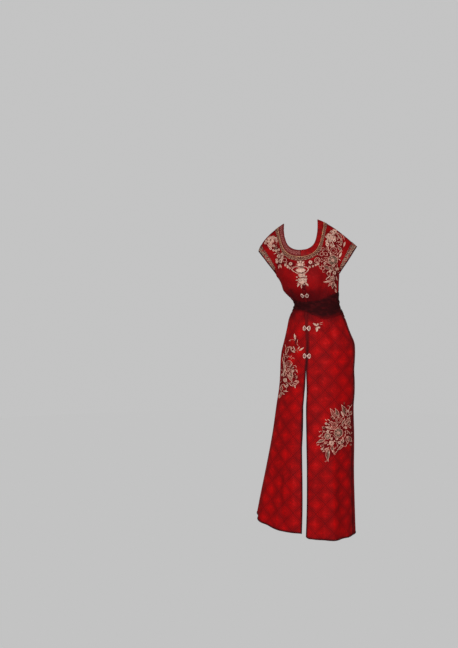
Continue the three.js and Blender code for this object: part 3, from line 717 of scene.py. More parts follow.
@dataclass
class RobeSurface:
    """One half's outer face as a fine net of points that every piece on it shares."""

    side: Side
    form: RobeForm
    row_step: float = 6.5
    lowest_row: float = 50
    edge_parts: int = 2
    column_parts: int = 5
    yoke_parts: tuple[int, ...] = (4, 4, 4, 4, 4, 5, 1, 4)
    bow: float = 0.06
    # Where along its line a crease grows and fades: from which share of it, over how much.
    crease_start: tuple[float, float] = (-0.15, 0.4)
    crease_end: tuple[float, float] = (0.6, 0.55)
    crease_facing: float = 2.5
    fine_gathers: int = 27
    fine_depth: float = 1.3
    fine_uneven: float = 0.35
    fine_start: tuple[float, float] = (-6, 14)
    fine_end: float = 6
    fine_reach: tuple[float, float] = (46, 26)
    points: np.ndarray = field(init=False)
    normals: np.ndarray = field(init=False)
    quads: np.ndarray = field(init=False)
    quad_row: np.ndarray = field(init=False)
    quad_column: np.ndarray = field(init=False)
    body_ids: np.ndarray = field(init=False)
    yoke_ids: np.ndarray = field(init=False)

    def __post_init__(self) -> None:
        """Works out the points, the cells between them and the finer creases."""
        lower, upper = self.form.net(self.side)
        seam, top = CUT.side_columns, CUT.last
        gaps = np.diff(np.array([0, 0, *ROW_HEIGHTS[2:]], float))
        gaps[0], gaps[1] = 2 * self.row_step, self.lowest_row
        self.body_rows = divided([math.ceil(gap / self.row_step) for gap in gaps])
        self.yoke_rows = divided(list(self.yoke_parts)) + UNDERARM_ROW
        edge, inner = [self.edge_parts], [self.column_parts] * (seam - 1)
        self.body_columns = divided(edge + inner + inner + edge)
        sleeve = [self.column_parts] * (top - 2 * seam)
        self.yoke_columns = divided(edge + inner + sleeve + inner + edge)
        trunk = [*range(seam + 1), *range(top - seam, top + 1)]
        whole = np.concatenate([lower[:, trunk], upper[:, trunk]])
        body = spline(whole, self.body_rows)
        middle = (body[:, seam : seam + 1] + body[:, seam + 1 : seam + 2]) / 2
        body = np.concatenate([body[:, :seam], middle, body[:, seam + 2 :]], 1)
        body = spline(body.transpose(1, 0, 2), self.body_columns).transpose(1, 0, 2)
        yoke = spline(whole, self.yoke_rows)
        arm = spline(upper[:, seam + 1 : top - seam], self.yoke_rows - UNDERARM_ROW)
        yoke = np.concatenate([yoke[:, : seam + 1], arm, yoke[:, seam + 1 :]], 1)
        yoke = spline(yoke.transpose(1, 0, 2), self.yoke_columns).transpose(1, 0, 2)
        self._join(body, yoke)
        self._crease()
        self.normals = self._normals()

    def _join(self, body: np.ndarray, yoke: np.ndarray) -> None:
        """Numbers the points of body and yoke as one net and lists the cells.

        Args:
            body: the points from the hem up to the underarm row.
            yoke: the points from that row up to the neckline.
        """
        half = body.shape[1] // 2
        wide = yoke.shape[1]
        under = np.concatenate([np.arange(half + 1), np.arange(wide - half - 1, wide)])
        over = np.concatenate([np.arange(half + 1), np.arange(half, body.shape[1])])
        drop = body[-1, over] - yoke[0, under]
        fade = 1 - smooth(self.yoke_rows - UNDERARM_ROW)
        yoke[:, under] += fade[:, None, None] * drop
        self.body_ids = np.arange(body.shape[0] * body.shape[1]).reshape(body.shape[:2])
        self.yoke_ids = np.full(yoke.shape[:2], -1)
        self.yoke_ids[0, under] = self.body_ids[-1, over]
        fresh = self.yoke_ids < 0
        self.yoke_ids[fresh] = body.shape[0] * body.shape[1] + np.arange(fresh.sum())
        self.points = np.concatenate([body.reshape(-1, 3), yoke[fresh]])
        columns = np.where(self.body_columns[:-1] < CUT.side_columns, 0, CUT.last - 2 * CUT.side_columns)
        parts = []
        for ids, rows, where in (
            (self.body_ids, self.body_rows, self.body_columns[:-1] + columns),
            (self.yoke_ids, self.yoke_rows, self.yoke_columns[:-1]),
        ):
            cells = grid_cells(ids)
            if self.side is Side.RIGHT:
                cells = cells[:, ::-1]
            row, column = np.meshgrid(rows[:-1] + 1e-6, where + 1e-6, indexing="ij")
            parts.append((cells, row.ravel().astype(int), column.ravel().astype(int)))
        self.quads, self.quad_row, self.quad_column = (np.concatenate(p) for p in zip(*parts))

    def _normals(self) -> np.ndarray:
        """Works out the outward directions from the cells that meet at each point.

        Returns:
            One for each point.
        """
        a, b, c, d = (self.points[self.quads[:, i]] for i in range(4))
        face = np.cross(c - a, d - b)
        total = np.zeros_like(self.points)
        for i in range(4):
            np.add.at(total, self.quads[:, i], face)
        return unit(total)

    def place_round(self) -> np.ndarray:
        """Signed place round the body of every body point, -1 and 1 at the centre back.

        Returns:
            One for each number in body_ids.
        """
        z = self.points[self.body_ids][..., 2]
        columns = [*range(CUT.side_columns + 1), *range(CUT.last - CUT.side_columns + 1, CUT.last + 1)]
        levels = z[:, 0]
        coarse = np.array([[self.form.place(self.side, c, level) for c in columns] for level in levels])
        fine = [np.interp(self.body_columns, range(len(columns)), row) for row in coarse]
        return self.side.sign * np.array(fine)

    def _crease(self) -> None:
        """Pushes the finer creases and the small gathers at the sash into the points."""
        normals = self._normals()
        x, z = self.points[:, 0], self.points[:, 2]
        out = np.zeros(len(x))
        start, end = self.crease_start, self.crease_end
        for i in range(len(CREASES["x"])):
            c = {name: float(CREASES[name][i]) for name in CREASES}
            run = np.array([c["x2"] - c["x"], c["z2"] - c["z"]])
            t = ((x - c["x"]) * run[0] + (z - c["z"]) * run[1]) / (run @ run)
            bow = self.bow * np.sin(math.pi * np.clip(t, 0, 1)) * (-1) ** i
            off = ((x - c["x"]) * run[1] - (z - c["z"]) * run[0]) / math.sqrt(run @ run)
            off = off - bow * math.sqrt(run @ run)
            along = smooth((t - start[0]) / start[1]) * (1 - smooth((t - end[0]) / end[1]))
            facing = smooth(normals[:, 1] * c["face"] * self.crease_facing)
            out += c["depth"] * along * facing * np.exp(-((off / c["width"]) ** 2))
        u = self.place_round()
        ids = self.body_ids
        height = z[ids]
        off = abs(height - read_at(SASH, "u", u, "z")) - read_at(SASH, "u", u, "half")
        usual, swing = self.fine_reach
        reach = usual + swing * np.sin(9 * math.pi * u + 1.1)
        start, long = self.fine_start
        near = smooth((off - start) / long) * (1 - smooth((off - self.fine_end) / reach))
        # Slow waves in place and strength keep any two of the small gathers from being alike.
        drift = 0.5 * np.sin(7 * u) + 0.12 * height / 40
        wave = np.sin(2 * math.pi * (self.fine_gathers * u + drift))
        uneven = 1 - self.fine_uneven + self.fine_uneven * np.sin(17 * u + 0.02 * height)
        out[ids] += self.fine_depth * near * wave * uneven
        self.points = self.points + normals * out[:, None]

    def level(self, z: float) -> np.ndarray:
        """Finds where the body's columns pass one height.

        Args:
            z: the height.

        Returns:
            The points, from the centre front round.
        """
        body = self.points[self.body_ids]
        across = [line_at(body[:, k, :2], body[:, k, 2], z) for k in range(body.shape[1])]
        return np.column_stack([np.array(across), np.full(body.shape[1], z)])

    def on_front(self, across: float, z: float) -> np.ndarray:
        """Finds a point on a front.

        Args:
            across: how far it lies from the centre edge, along the cloth.
            z: its height.

        Returns:
            The point.
        """
        line = self.level(z) if z < CUT.underarm else self._yoke_level(z)
        return line_at(line, arc_length(line), across)

    def _yoke_level(self, z: float) -> np.ndarray:
        """Finds where the yoke's front columns pass one height.

        Args:
            z: the height.

        Returns:
            The points, from the centre front outwards.
        """
        yoke = self.points[self.yoke_ids]
        half = int(np.searchsorted(self.yoke_columns, CUT.side_columns))
        return np.array([line_at(yoke[:, k], yoke[:, k, 2], z) for k in range(half)])

    def cloth_uv(self, is_front: bool) -> np.ndarray:
        """Places on the cloth in metres for every point: across from the centre edge, and up.

        Args:
            is_front: measured from the centre front edge, or else from the centre back.

        Returns:
            One pair for each point.
        """
        turn = 1 if is_front else -1
        body = self.points[self.body_ids][:, ::turn]
        yoke = self.points[self.yoke_ids][:, ::turn]
        columns = self.yoke_columns if is_front else CUT.last - self.yoke_columns[::-1]
        across = arc_length(body, 1)
        half = body.shape[1] // 2
        planar = abs(yoke[..., 0] - yoke[0, 0, 0])
        under = across[-1, : half + 1] - planar[0, : half + 1]
        extra = np.interp(columns, columns[: half + 1], under)
        beyond = 1 - smooth((columns - CUT.side_columns) / CUT.sleeve_columns)
        fade = 1 - smooth((self.yoke_rows - UNDERARM_ROW) / 4)
        around = planar + fade[:, None] * extra * beyond
        up = yoke[0, :, 2] + arc_length(yoke)
        uv = np.zeros((len(self.points), 2))
        uv[self.yoke_ids[:, ::turn]] = np.stack([around, up], 2)
        uv[self.body_ids[:, ::turn]] = np.stack([across, body[..., 2]], 2)
        return uv * (self.side.sign * MM, MM)

    def neck_uv(self) -> np.ndarray:
        """Places for the neck bands: along the neckline, and out from it.

        Returns:
            One pair for each point, in metres.
        """
        yoke = self.points[self.yoke_ids]
        out = arc_length(yoke[::-1])[::-1]
        run = np.broadcast_to(arc_length(yoke[-1:], 1), out.shape)
        uv = np.zeros((len(self.points), 2))
        uv[self.yoke_ids] = np.stack([run, out], 2)
        return uv * MM

    def cuff_uv(self) -> np.ndarray:
        """Places for the cuff: round the arm opening, and in from its edge.

        Returns:
            One pair for each point, in metres.
        """
        yoke = self.points[self.yoke_ids]
        into = arc_length(yoke)
        run = np.broadcast_to(arc_length(yoke[:1], 1), into.shape)
        uv = np.zeros((len(self.points), 2))
        uv[self.yoke_ids] = np.stack([run, into], 2)
        return uv * MM


def in_scene(name: str, data: bpy.types.ID) -> bpy.types.Object:
    """Adds an object to the scene.

    Args:
        name: its name.
        data: its mesh, lamp or camera.

    Returns:
        The object.
    """
    made = bpy.data.objects.new(name, data)
    bpy.context.scene.collection.objects.link(made)
    return made


def mesh_piece(
    name: str,
    points: np.ndarray,
    faces: list | np.ndarray,
    materials: list[bpy.types.Material],
    uv: np.ndarray | None = None,
    slots: np.ndarray | None = None,
    values: dict[str, np.ndarray] | None = None,
) -> bpy.types.Object:
    """Makes one piece from points in millimetres.

    Args:
        name: the piece's name.
        points: its points.
        faces: its faces, by point.
        materials: its materials.
        uv: a place on the cloth for each point, in metres.
        slots: the material of each face.
        values: attributes, one number for each point.

    Returns:
        The piece's object, riding on the one body.
    """
    mesh = bpy.data.meshes.new(name)
    listed = faces.tolist() if isinstance(faces, np.ndarray) else faces
    mesh.from_pydata((np.asarray(points) * MM).tolist(), [], listed)
    for material in materials:
        mesh.materials.append(material)
    if slots is not None:
        mesh.polygons.foreach_set("material_index", np.asarray(slots, np.int32))
    if uv is not None:
        corners = np.zeros(len(mesh.loops), np.int32)
        mesh.loops.foreach_get("vertex_index", corners)
        mesh.uv_layers.new(name="cloth").data.foreach_set("uv", uv[corners].ravel())
    for key, numbers in (values or {}).items():
        kept = mesh.attributes.new(key, "FLOAT", "POINT")
        kept.data.foreach_set("value", np.asarray(numbers, np.float32))
    mesh.shade_smooth()
    mesh.update()
    piece = in_scene(name, mesh)
    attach(piece, "root")
    return piece


def shell(
    name: str,
    surface: RobeSurface,
    keep: np.ndarray,
    lift: float,
    thickness: float,
    uv: np.ndarray,
    outside: bpy.types.Material,
    inside: bpy.types.Material,
    crown: float = 0,
    seam: float = 1,
) -> bpy.types.Object:
    """Makes a closed wall over some of the surface's cells.

    Args:
        name: the piece's name.
        surface: the half it lies on.
        keep: which cells it covers.
        lift: how far its inner face stands above the surface.
        thickness: from its inner to its outer face.
        uv: places on the cloth for every point of the surface.
        outside: the material of the outer face and the edges.
        inside: the material of the inner face.
        crown: how much thinner it is along its edges.
        seam: how fast the shade beside its side seam fades, 1 for as along its other edges.

    Returns:
        The piece's object.
    """
    quads = surface.quads[keep]
    used, local = np.unique(quads, return_inverse=True)
    cells = local.reshape(-1, 4)
    sides = np.concatenate([np.stack([cells[:, i], cells[:, (i + 1) % 4]], 1) for i in range(4)])
    forward = {tuple(pair) for pair in sides.tolist()}
    rim = np.array([pair for pair in sides.tolist() if (pair[1], pair[0]) not in forward])
    points, normals = surface.points[used], surface.normals[used]
    sums, counts = np.zeros_like(points), np.zeros(len(points))
    middles = points[cells].mean(1)
    for i in range(4):
        np.add.at(sums, cells[:, i], middles)
        np.add.at(counts, cells[:, i], 1)
    edge = np.unique(rim)
    inwards = sums[edge] / counts[edge, None] - points[edge]
    inwards -= (inwards * normals[edge]).sum(1, keepdims=True) * normals[edge]
    places = points.copy()
    places[edge] += unit(inwards) * CUT.drawn_in
    rise = np.full(len(points), thickness)
    rise[edge] -= crown
    inner = places + normals * lift
    outer = places + normals * (lift + rise[:, None])
    n = len(points)
    walls = np.stack([rim[:, 0], rim[:, 1], rim[:, 1] + n, rim[:, 0] + n], 1)
    faces = np.concatenate([cells + n, walls, cells[:, ::-1]])
    slots = np.concatenate([np.zeros(len(cells) + len(walls)), np.ones(len(cells))])
    away = np.full(n, np.inf)
    is_seam = np.isin(used[edge], surface.body_ids[:, surface.body_columns.size // 2])
    few, many = 200, 4000
    for start in range(0, len(edge), few):
        part = points[edge[start : start + few]]
        fade = np.where(is_seam[start : start + few], seam, 1)
        for block in range(0, n, many):
            near = points[block : block + many]
            gap = (np.linalg.norm(near[:, None] - part[None], axis=2) * fade).min(1)
            away[block : block + many] = np.minimum(away[block : block + many], gap)
    values = {"edge": np.tile(away * MM, 2)}
    both = np.tile(uv[used], (2, 1))
    return mesh_piece(name, np.concatenate([inner, outer]), faces, [outside, inside], both, slots, values)


def rgb(red: float, green: float, blue: float) -> Colour:
    """A linear colour from 8-bit display values.

    Args:
        red: from 0 to 255.
        green: the same.
        blue: the same.

    Returns:
        The colour, opaque.
    """
    shares = (red / 255, green / 255, blue / 255)
    linear = [v / 12.92 if v <= 0.04045 else ((v + 0.055) / 1.055) ** 2.4 for v in shares]
    return (linear[0], linear[1], linear[2], 1.0)


class Shader:
    """Builds one material's nodes."""

    def __init__(self, name: str, roughness: float = 0.6, **constants: float | Colour) -> None:
        """Starts a material.

        Args:
            name: the material's name.
            roughness: of its surface.
            constants: other values for the shader's own sockets, with _ for each space.
        """
        self.material = bpy.data.materials.new(name)
        self.material.use_nodes = True
        self.tree = self.material.node_tree
        self.surface = self.tree.nodes["Principled BSDF"]
        self.surface.inputs["Roughness"].default_value = roughness
        for key, value in constants.items():
            self.surface.inputs[key.replace("_", " ")].default_value = value

    def node(self, kind: str, inputs: dict | None = None, **settings: object) -> bpy.types.Node:
        """Adds a node.

        Args:
            kind: its type, without the word ShaderNode.
            inputs: sockets by name or number, each given a value or linked from a socket.
            settings: its own properties.

        Returns:
            The node.
        """
        made = self.tree.nodes.new("ShaderNode" + kind)
        for key, value in settings.items():
            setattr(made, key, value)
        for key, value in (inputs or {}).items():
            if isinstance(value, bpy.types.NodeSocket):
                self.tree.links.new(value, made.inputs[key])
            elif value is not None:
                made.inputs[key].default_value = value
        return made

    def math(self, operation: str, *values: object) -> bpy.types.NodeSocket:
        """One sum on numbers or sockets."""
        return self.node("Math", dict(enumerate(values)), operation=operation).outputs[0]

    def times(self, first: object, second: object) -> bpy.types.NodeSocket:
        """One number times another."""
        return self.math("MULTIPLY", first, second)

    def plus(self, first: object, second: object) -> bpy.types.NodeSocket:
        """One number and another together."""
        return self.math("ADD", first, second)

    def less(self, first: object, second: object) -> bpy.types.NodeSocket:
        """One number less another."""
        return self.math("SUBTRACT", first, second)

    def scaled(self, value: object, factor: float, start: object) -> bpy.types.NodeSocket:
        """A number times a factor, added to a start."""
        return self.math("MULTIPLY_ADD", value, factor, start)

    def mix(self, share: object, low: object, high: object) -> bpy.types.NodeSocket:
        """Goes from one colour to another."""
        made = self.node("Mix", {0: share, 6: low, 7: high}, data_type="RGBA")
        return made.outputs[2]

    def band(self, value: object, start: float, end: float) -> bpy.types.NodeSocket:
        """Rises smoothly from 0 to 1 as a value goes from start to end."""
        inputs = {"Value": value, "From Min": start, "From Max": end}
        return self.node("MapRange", inputs, interpolation_type="SMOOTHSTEP").outputs[0]

    def noise(self, where: object, scale: float, detail: float = 3) -> bpy.types.NodeSocket:
        """Soft noise from 0 to 1."""
        inputs = {"Vector": where, "Scale": scale, "Detail": detail}
        return self.node("TexNoise", inputs).outputs["Fac"]

    def place(self) -> bpy.types.NodeSocket:
        """The piece's own coordinates, in metres."""
        return self.node("TexCoord").outputs["Object"]

    def cloth(self) -> tuple[bpy.types.NodeSocket, bpy.types.NodeSocket, bpy.types.NodeSocket]:
        """Reads the place on the cloth.

        Returns:
            The pair as a vector, then across and up.
        """
        pair = self.node("UVMap", uv_map="cloth").outputs[0]
        parts = self.node("SeparateXYZ", {0: pair})
        return pair, parts.outputs[0], parts.outputs[1]

    def attribute(self, name: str) -> bpy.types.NodeSocket:
        """A number kept with each point of the piece."""
        return self.node("Attribute", attribute_name=name).outputs["Fac"]

    def finish(
        self, colour: object, height: object = None, relief: float = 0.0003, roughness: object = None
    ) -> bpy.types.Material:
        """Joins the colour, height and roughness to the surface.

        Args:
            colour: the base colour.
            height: the fine relief, 0 to 1.
            relief: how high that stands, in metres.
            roughness: where it varies.

        Returns:
            The material.
        """
        self.tree.links.new(colour, self.surface.inputs["Base Color"])
        if height is not None:
            bump = self.node("Bump", {"Strength": 1.0, "Distance": relief, "Height": height})
            self.tree.links.new(bump.outputs[0], self.surface.inputs["Normal"])
        if roughness is not None:
            self.tree.links.new(roughness, self.surface.inputs["Roughness"])
        return self.material


@dataclass(frozen=True)
class Damask:
    """Red damask, figured in its own colour: a lattice of fine lines, a soft flower in each cell."""

    name: str = "brocade"
    figure: Colour = rgb(194, 3, 5)
    ground: Colour = rgb(138, 5, 8)
    line: Colour = rgb(68, 4, 9)
    # Painted shade: the colour that the cloth darkens to along its edges, under the needlework and at the
    # waist.
    edge: Colour = rgb(54, 4, 9)
    width: float = 0.077
    height: float = 0.077
    swing: float = 0.006
    # Lines of the lattice: how far in from the cell's edge, half width and strength.
    lines: tuple[tuple[float, float, float], ...] = (
        (0.0, 0.19, 0.17),
        (0.0, 0.055, 0.64),
        (0.125, 0.045, 0.52),
        (0.245, 0.04, 0.36),
        (0.365, 0.035, 0.16),
    )
    # Heights between which the cloth turns to that of the bodice, and how much darker it is there.
    bodice: tuple[float, float] = (-0.46, -0.32)
    bodice_shade: float = 0.36
    # Middle of the painted shade at the waist, and how far from it that shade is whole and has gone.
    waist: tuple[float, float, float] = (-0.345, 0.026, 0.082)
    waist_shade: float = 0.72
    edge_shade: float = 0.7
    worked_shade: float = 0.52
    warp: float = 0.0011
    weft: float = 0.0013

    def material(self) -> bpy.types.Material:
        """Builds the finish.

        Returns:
            The material.
        """
        s = Shader(self.name, 0.7, Specular_IOR_Level=0.08)
        pair, across, up = s.cloth()
        wander = s.scaled(s.noise(pair, 20, 3), 0.12, -0.06)
        x, y = s.math("DIVIDE", across, self.width), s.math("DIVIDE", up, self.height)
        a, b = s.plus(x, y), s.less(x, y)
        ways = []
        for along, beside in ((a, b), (b, a)):
            bow = s.scaled(s.math("SINE", s.times(beside, math.tau)), self.swing, along)
            ways.append(s.math("PINGPONG", s.plus(bow, wander), 0.5))
        off = s.math("MINIMUM", *ways)
        lines = 0.0
        for at, half, strength in self.lines:
            away = s.math("ABSOLUTE", s.less(off, at))
            near = s.less(1.0, s.band(away, half * 0.3, half))
            lines = s.math("MAXIMUM", lines, s.times(near, strength))
        flower = s.times(s.band(s.noise(pair, 75, 2), 0.46, 0.60), s.band(off, 0.16, 0.36))
        bodice = s.band(up, *self.bodice)
        lines = s.times(lines, s.scaled(bodice, -0.7, 1.0))
        cloud = s.band(s.noise(pair, 15, 4), 0.34, 0.66)
        tone = s.scaled(flower, 0.35, s.scaled(cloud, 0.46, 0.15))
        tone = s.plus(tone, s.scaled(s.noise(pair, 190, 2), 1.1, -0.55))
        base = s.mix(lines, s.mix(tone, self.ground, self.figure), self.line)
        base = s.mix(s.times(bodice, self.bodice_shade), base, self.line)
        # Painted shade along every edge of the panel, its side seams and hem among them.
        near = s.less(1.0, s.band(s.attribute("edge"), 0.002, 0.013))
        # Painted shade on the cloth under the needlework's regions.
        worked = s.times(s.attribute("worked"), self.worked_shade)
        near = s.math("MAXIMUM", s.times(near, self.edge_shade), worked)
        base = s.mix(near, base, self.edge)
        # Painted shade on the cloth above and below the sash, its reach made uneven by noise.
        middle, full, far = self.waist
        crushed = s.math("ABSOLUTE", s.less(up, middle))
        crushed = s.plus(crushed, s.scaled(s.noise(pair, 22, 4), 0.09, -0.045))
        shade = s.less(1.0, s.band(crushed, full, far))
        base = s.mix(s.times(shade, self.waist_shade), base, self.edge)
        warp = s.math("SINE", s.times(across, math.tau / self.warp))
        weft = s.math("SINE", s.times(up, math.tau / self.weft))
        weave = s.times(s.times(warp, weft), 0.12)
        height = s.less(s.scaled(flower, 0.5, weave), s.times(lines, 0.4))
        return s.finish(base, height, 0.0002, s.scaled(flower, -0.14, 0.72))


@dataclass(frozen=True)
class Woven:
    """A plain woven or satin cloth with threads along its own places."""

    name: str
    colour: Colour
    shade: Colour
    thread: float = 0.0008
    roughness: float = 0.6
    gloss: float = 0.12
    upper: Colour | None = None
    upper_share: float = 0.85
    above: tuple[float, float] = (-0.60, -0.42)

    def material(self) -> bpy.types.Material:
        """Builds the finish.

        Returns:
            The material.
        """
        s = Shader(self.name, self.roughness, Specular_IOR_Level=self.gloss)
        _, across, up = s.cloth()
        cloud = s.noise(s.place(), 60, 4)
        warp = s.math("SINE", s.times(across, math.tau / self.thread))
        weft = s.math("SINE", s.times(up, math.tau / self.thread))
        weave = s.scaled(s.times(warp, weft), 0.25, 0.5)
        colour = s.mix(s.band(cloud, 0.35, 0.7), self.shade, self.colour)
        colour = s.mix(s.times(s.band(weave, 0.6, 0.3), 0.3), colour, self.shade)
        if self.upper:
            high = s.band(s.node("SeparateXYZ", {0: s.place()}).outputs[2], *self.above)
            colour = s.mix(s.times(high, self.upper_share), colour, self.upper)
        return s.finish(colour, s.plus(weave, cloud), 0.0002)


@dataclass(frozen=True)
class FiguredBand:
    """A taupe woven band with a vine and small blossoms along it."""

    name: str
    ground: Colour
    figure: Colour
    dark: Colour
    middle: float
    repeat: float = 0.021
    sway: float = 0.0042
    blossom_off: float = 0.0045
    stem: tuple[float, float] = (0.0006, 0.0015)
    blossom: tuple[float, float] = (0.0016, 0.0028)
    patch: Colour | None = None
    hem: float = 0.0045

    def material(self) -> bpy.types.Material:
        """Builds the finish; across runs along the band and up runs over its width.

        Returns:
            The material.
        """
        s = Shader(self.name, 0.7, Specular_IOR_Level=0.15)
        pair, along, over = s.cloth()
        phase = s.times(along, math.tau / self.repeat)
        vine = s.scaled(s.math("SINE", phase), self.sway, self.middle)
        off = s.math("ABSOLUTE", s.less(over, vine))
        stem = s.less(1.0, s.band(off, *self.stem))
        cell = s.less(s.math("FRACT", s.math("DIVIDE", along, self.repeat / 2)), 0.5)
        dx = s.times(cell, self.repeat / 2)
        blossom_at = s.scaled(s.math("SINE", phase), -self.blossom_off, self.middle)
        dy = s.less(over, blossom_at)
        r = s.math("SQRT", s.plus(s.times(dx, dx), s.times(dy, dy)))
        blossom = s.less(1.0, s.band(r, *self.blossom))
        speck = s.band(s.noise(pair, 420, 1), 0.52, 0.66)
        figure = s.math("MAXIMUM", s.math("MAXIMUM", stem, blossom), s.times(speck, 0.6))
        cloud = s.noise(pair, 90, 3)
        ground = s.mix(s.band(cloud, 0.4, 0.68), self.dark, self.ground)
        colour = s.mix(figure, ground, self.figure)
        if self.patch:
            bare = s.band(s.noise(pair, 62, 2), 0.53, 0.60)
            # On the cuff, painted shade darkens the band along its edge at the arm opening.
            turned = s.less(1.0, s.band(over, self.hem * 0.7, self.hem))
            colour = s.mix(s.times(bare, 0.8), colour, self.patch)
            colour = s.mix(turned, colour, self.dark)
        return s.finish(colour, s.plus(figure, s.times(cloud, 0.4)), 0.0004)


@dataclass(frozen=True)
class Metal:
    """Warm silver, cast in relief."""

    name: str = "clasp"
    bright: Colour = rgb(238, 204, 190)
    # worn is the dark of the patina in the rosette's hollows and of random tarnish; on the tongue it is
    # painted shade.
    worn: Colour = rgb(118, 46, 42)

    def material(self) -> bpy.types.Material:
        """Builds the finish.

        Returns:
            The material.
        """
        s = Shader(self.name, 0.42, Metallic=0.55)
        cloud = s.noise(s.place(), 700, 3)
        grain = s.noise(s.place(), 2600, 2)
        tarnish = s.times(s.band(cloud, 0.62, 0.36), 0.3)
        colour = s.mix(s.math("MAXIMUM", tarnish, s.attribute("deep")), self.bright, self.worn)
        return s.finish(colour, s.plus(grain, cloud), 0.0001)


@dataclass(frozen=True)
class Gauze:
    """Crushed dark gauze, thinner towards its edges so that the red shows through; its dark also stands in
    part for shade at the waist.
    """

    name: str = "sash"
    # dark also stands in part for shade at the waist; fold gives lighter streaks, painted light on its folds;
    # thin is close to the cloth's colour under the painted waist shade, which its edges fade into.
    dark: Colour = rgb(45, 9, 11)
    fold: Colour = rgb(72, 13, 16)
    thin: Colour = rgb(98, 7, 11)

    def material(self) -> bpy.types.Material:
        """Builds the finish; up runs from -1 to 1 over the sash's width.

        Returns:
            The material.
        """
        s = Shader(self.name, 0.85, Specular_IOR_Level=0.05)
        _, _, over = s.cloth()
        drift = s.noise(s.place(), 24, 4)
        reach = s.math("ABSOLUTE", s.less(over, 0.12))
        thin = s.band(s.plus(reach, s.scaled(drift, 0.7, -0.35)), 0.78, 1.25)
        stretched = {"Vector": s.place(), "Scale": (1.0, 1.0, 2.0), "Rotation": (0.0, 0.5, 0.0)}
        streak = s.noise(s.node("Mapping", stretched).outputs[0], 42, 4)
        # Lighter streaks are painted light on the folds; towards the edges the gauze fades to the colour of
        # the painted shade on the cloth.
        colour = s.mix(s.band(streak, 0.45, 0.72), self.dark, self.fold)
        colour = s.mix(thin, colour, self.thin)
        mesh = s.noise(s.place(), 1500, 1)
        return s.finish(colour, s.plus(s.times(mesh, 0.4), streak), 0.0005)


@dataclass(frozen=True)
class Thread:
    """Embroidery silk, its stitches lying side by side."""

    name: str
    colour: Colour
    shade: Colour

    def material(self) -> bpy.types.Material:
        """Builds the finish.

        Returns:
            The material.
        """
        s = Shader(self.name, 0.5, Specular_IOR_Level=0.3)
        cloud = s.noise(s.place(), 120, 3)
        turned = {"Vector": s.place(), "Rotation": (0.4, 0.7, 0.9), "Scale": (900.0, 900.0, 90.0)}
        ply = s.noise(s.node("Mapping", turned).outputs[0], 1, 2)
        patchy = s.times(s.band(cloud, 0.4, 0.65), 0.5)
        tone = s.scaled(s.band(ply, 0.35, 0.65), 0.5, patchy)
        return s.finish(s.mix(tone, self.shade, self.colour), ply, 0.0002)


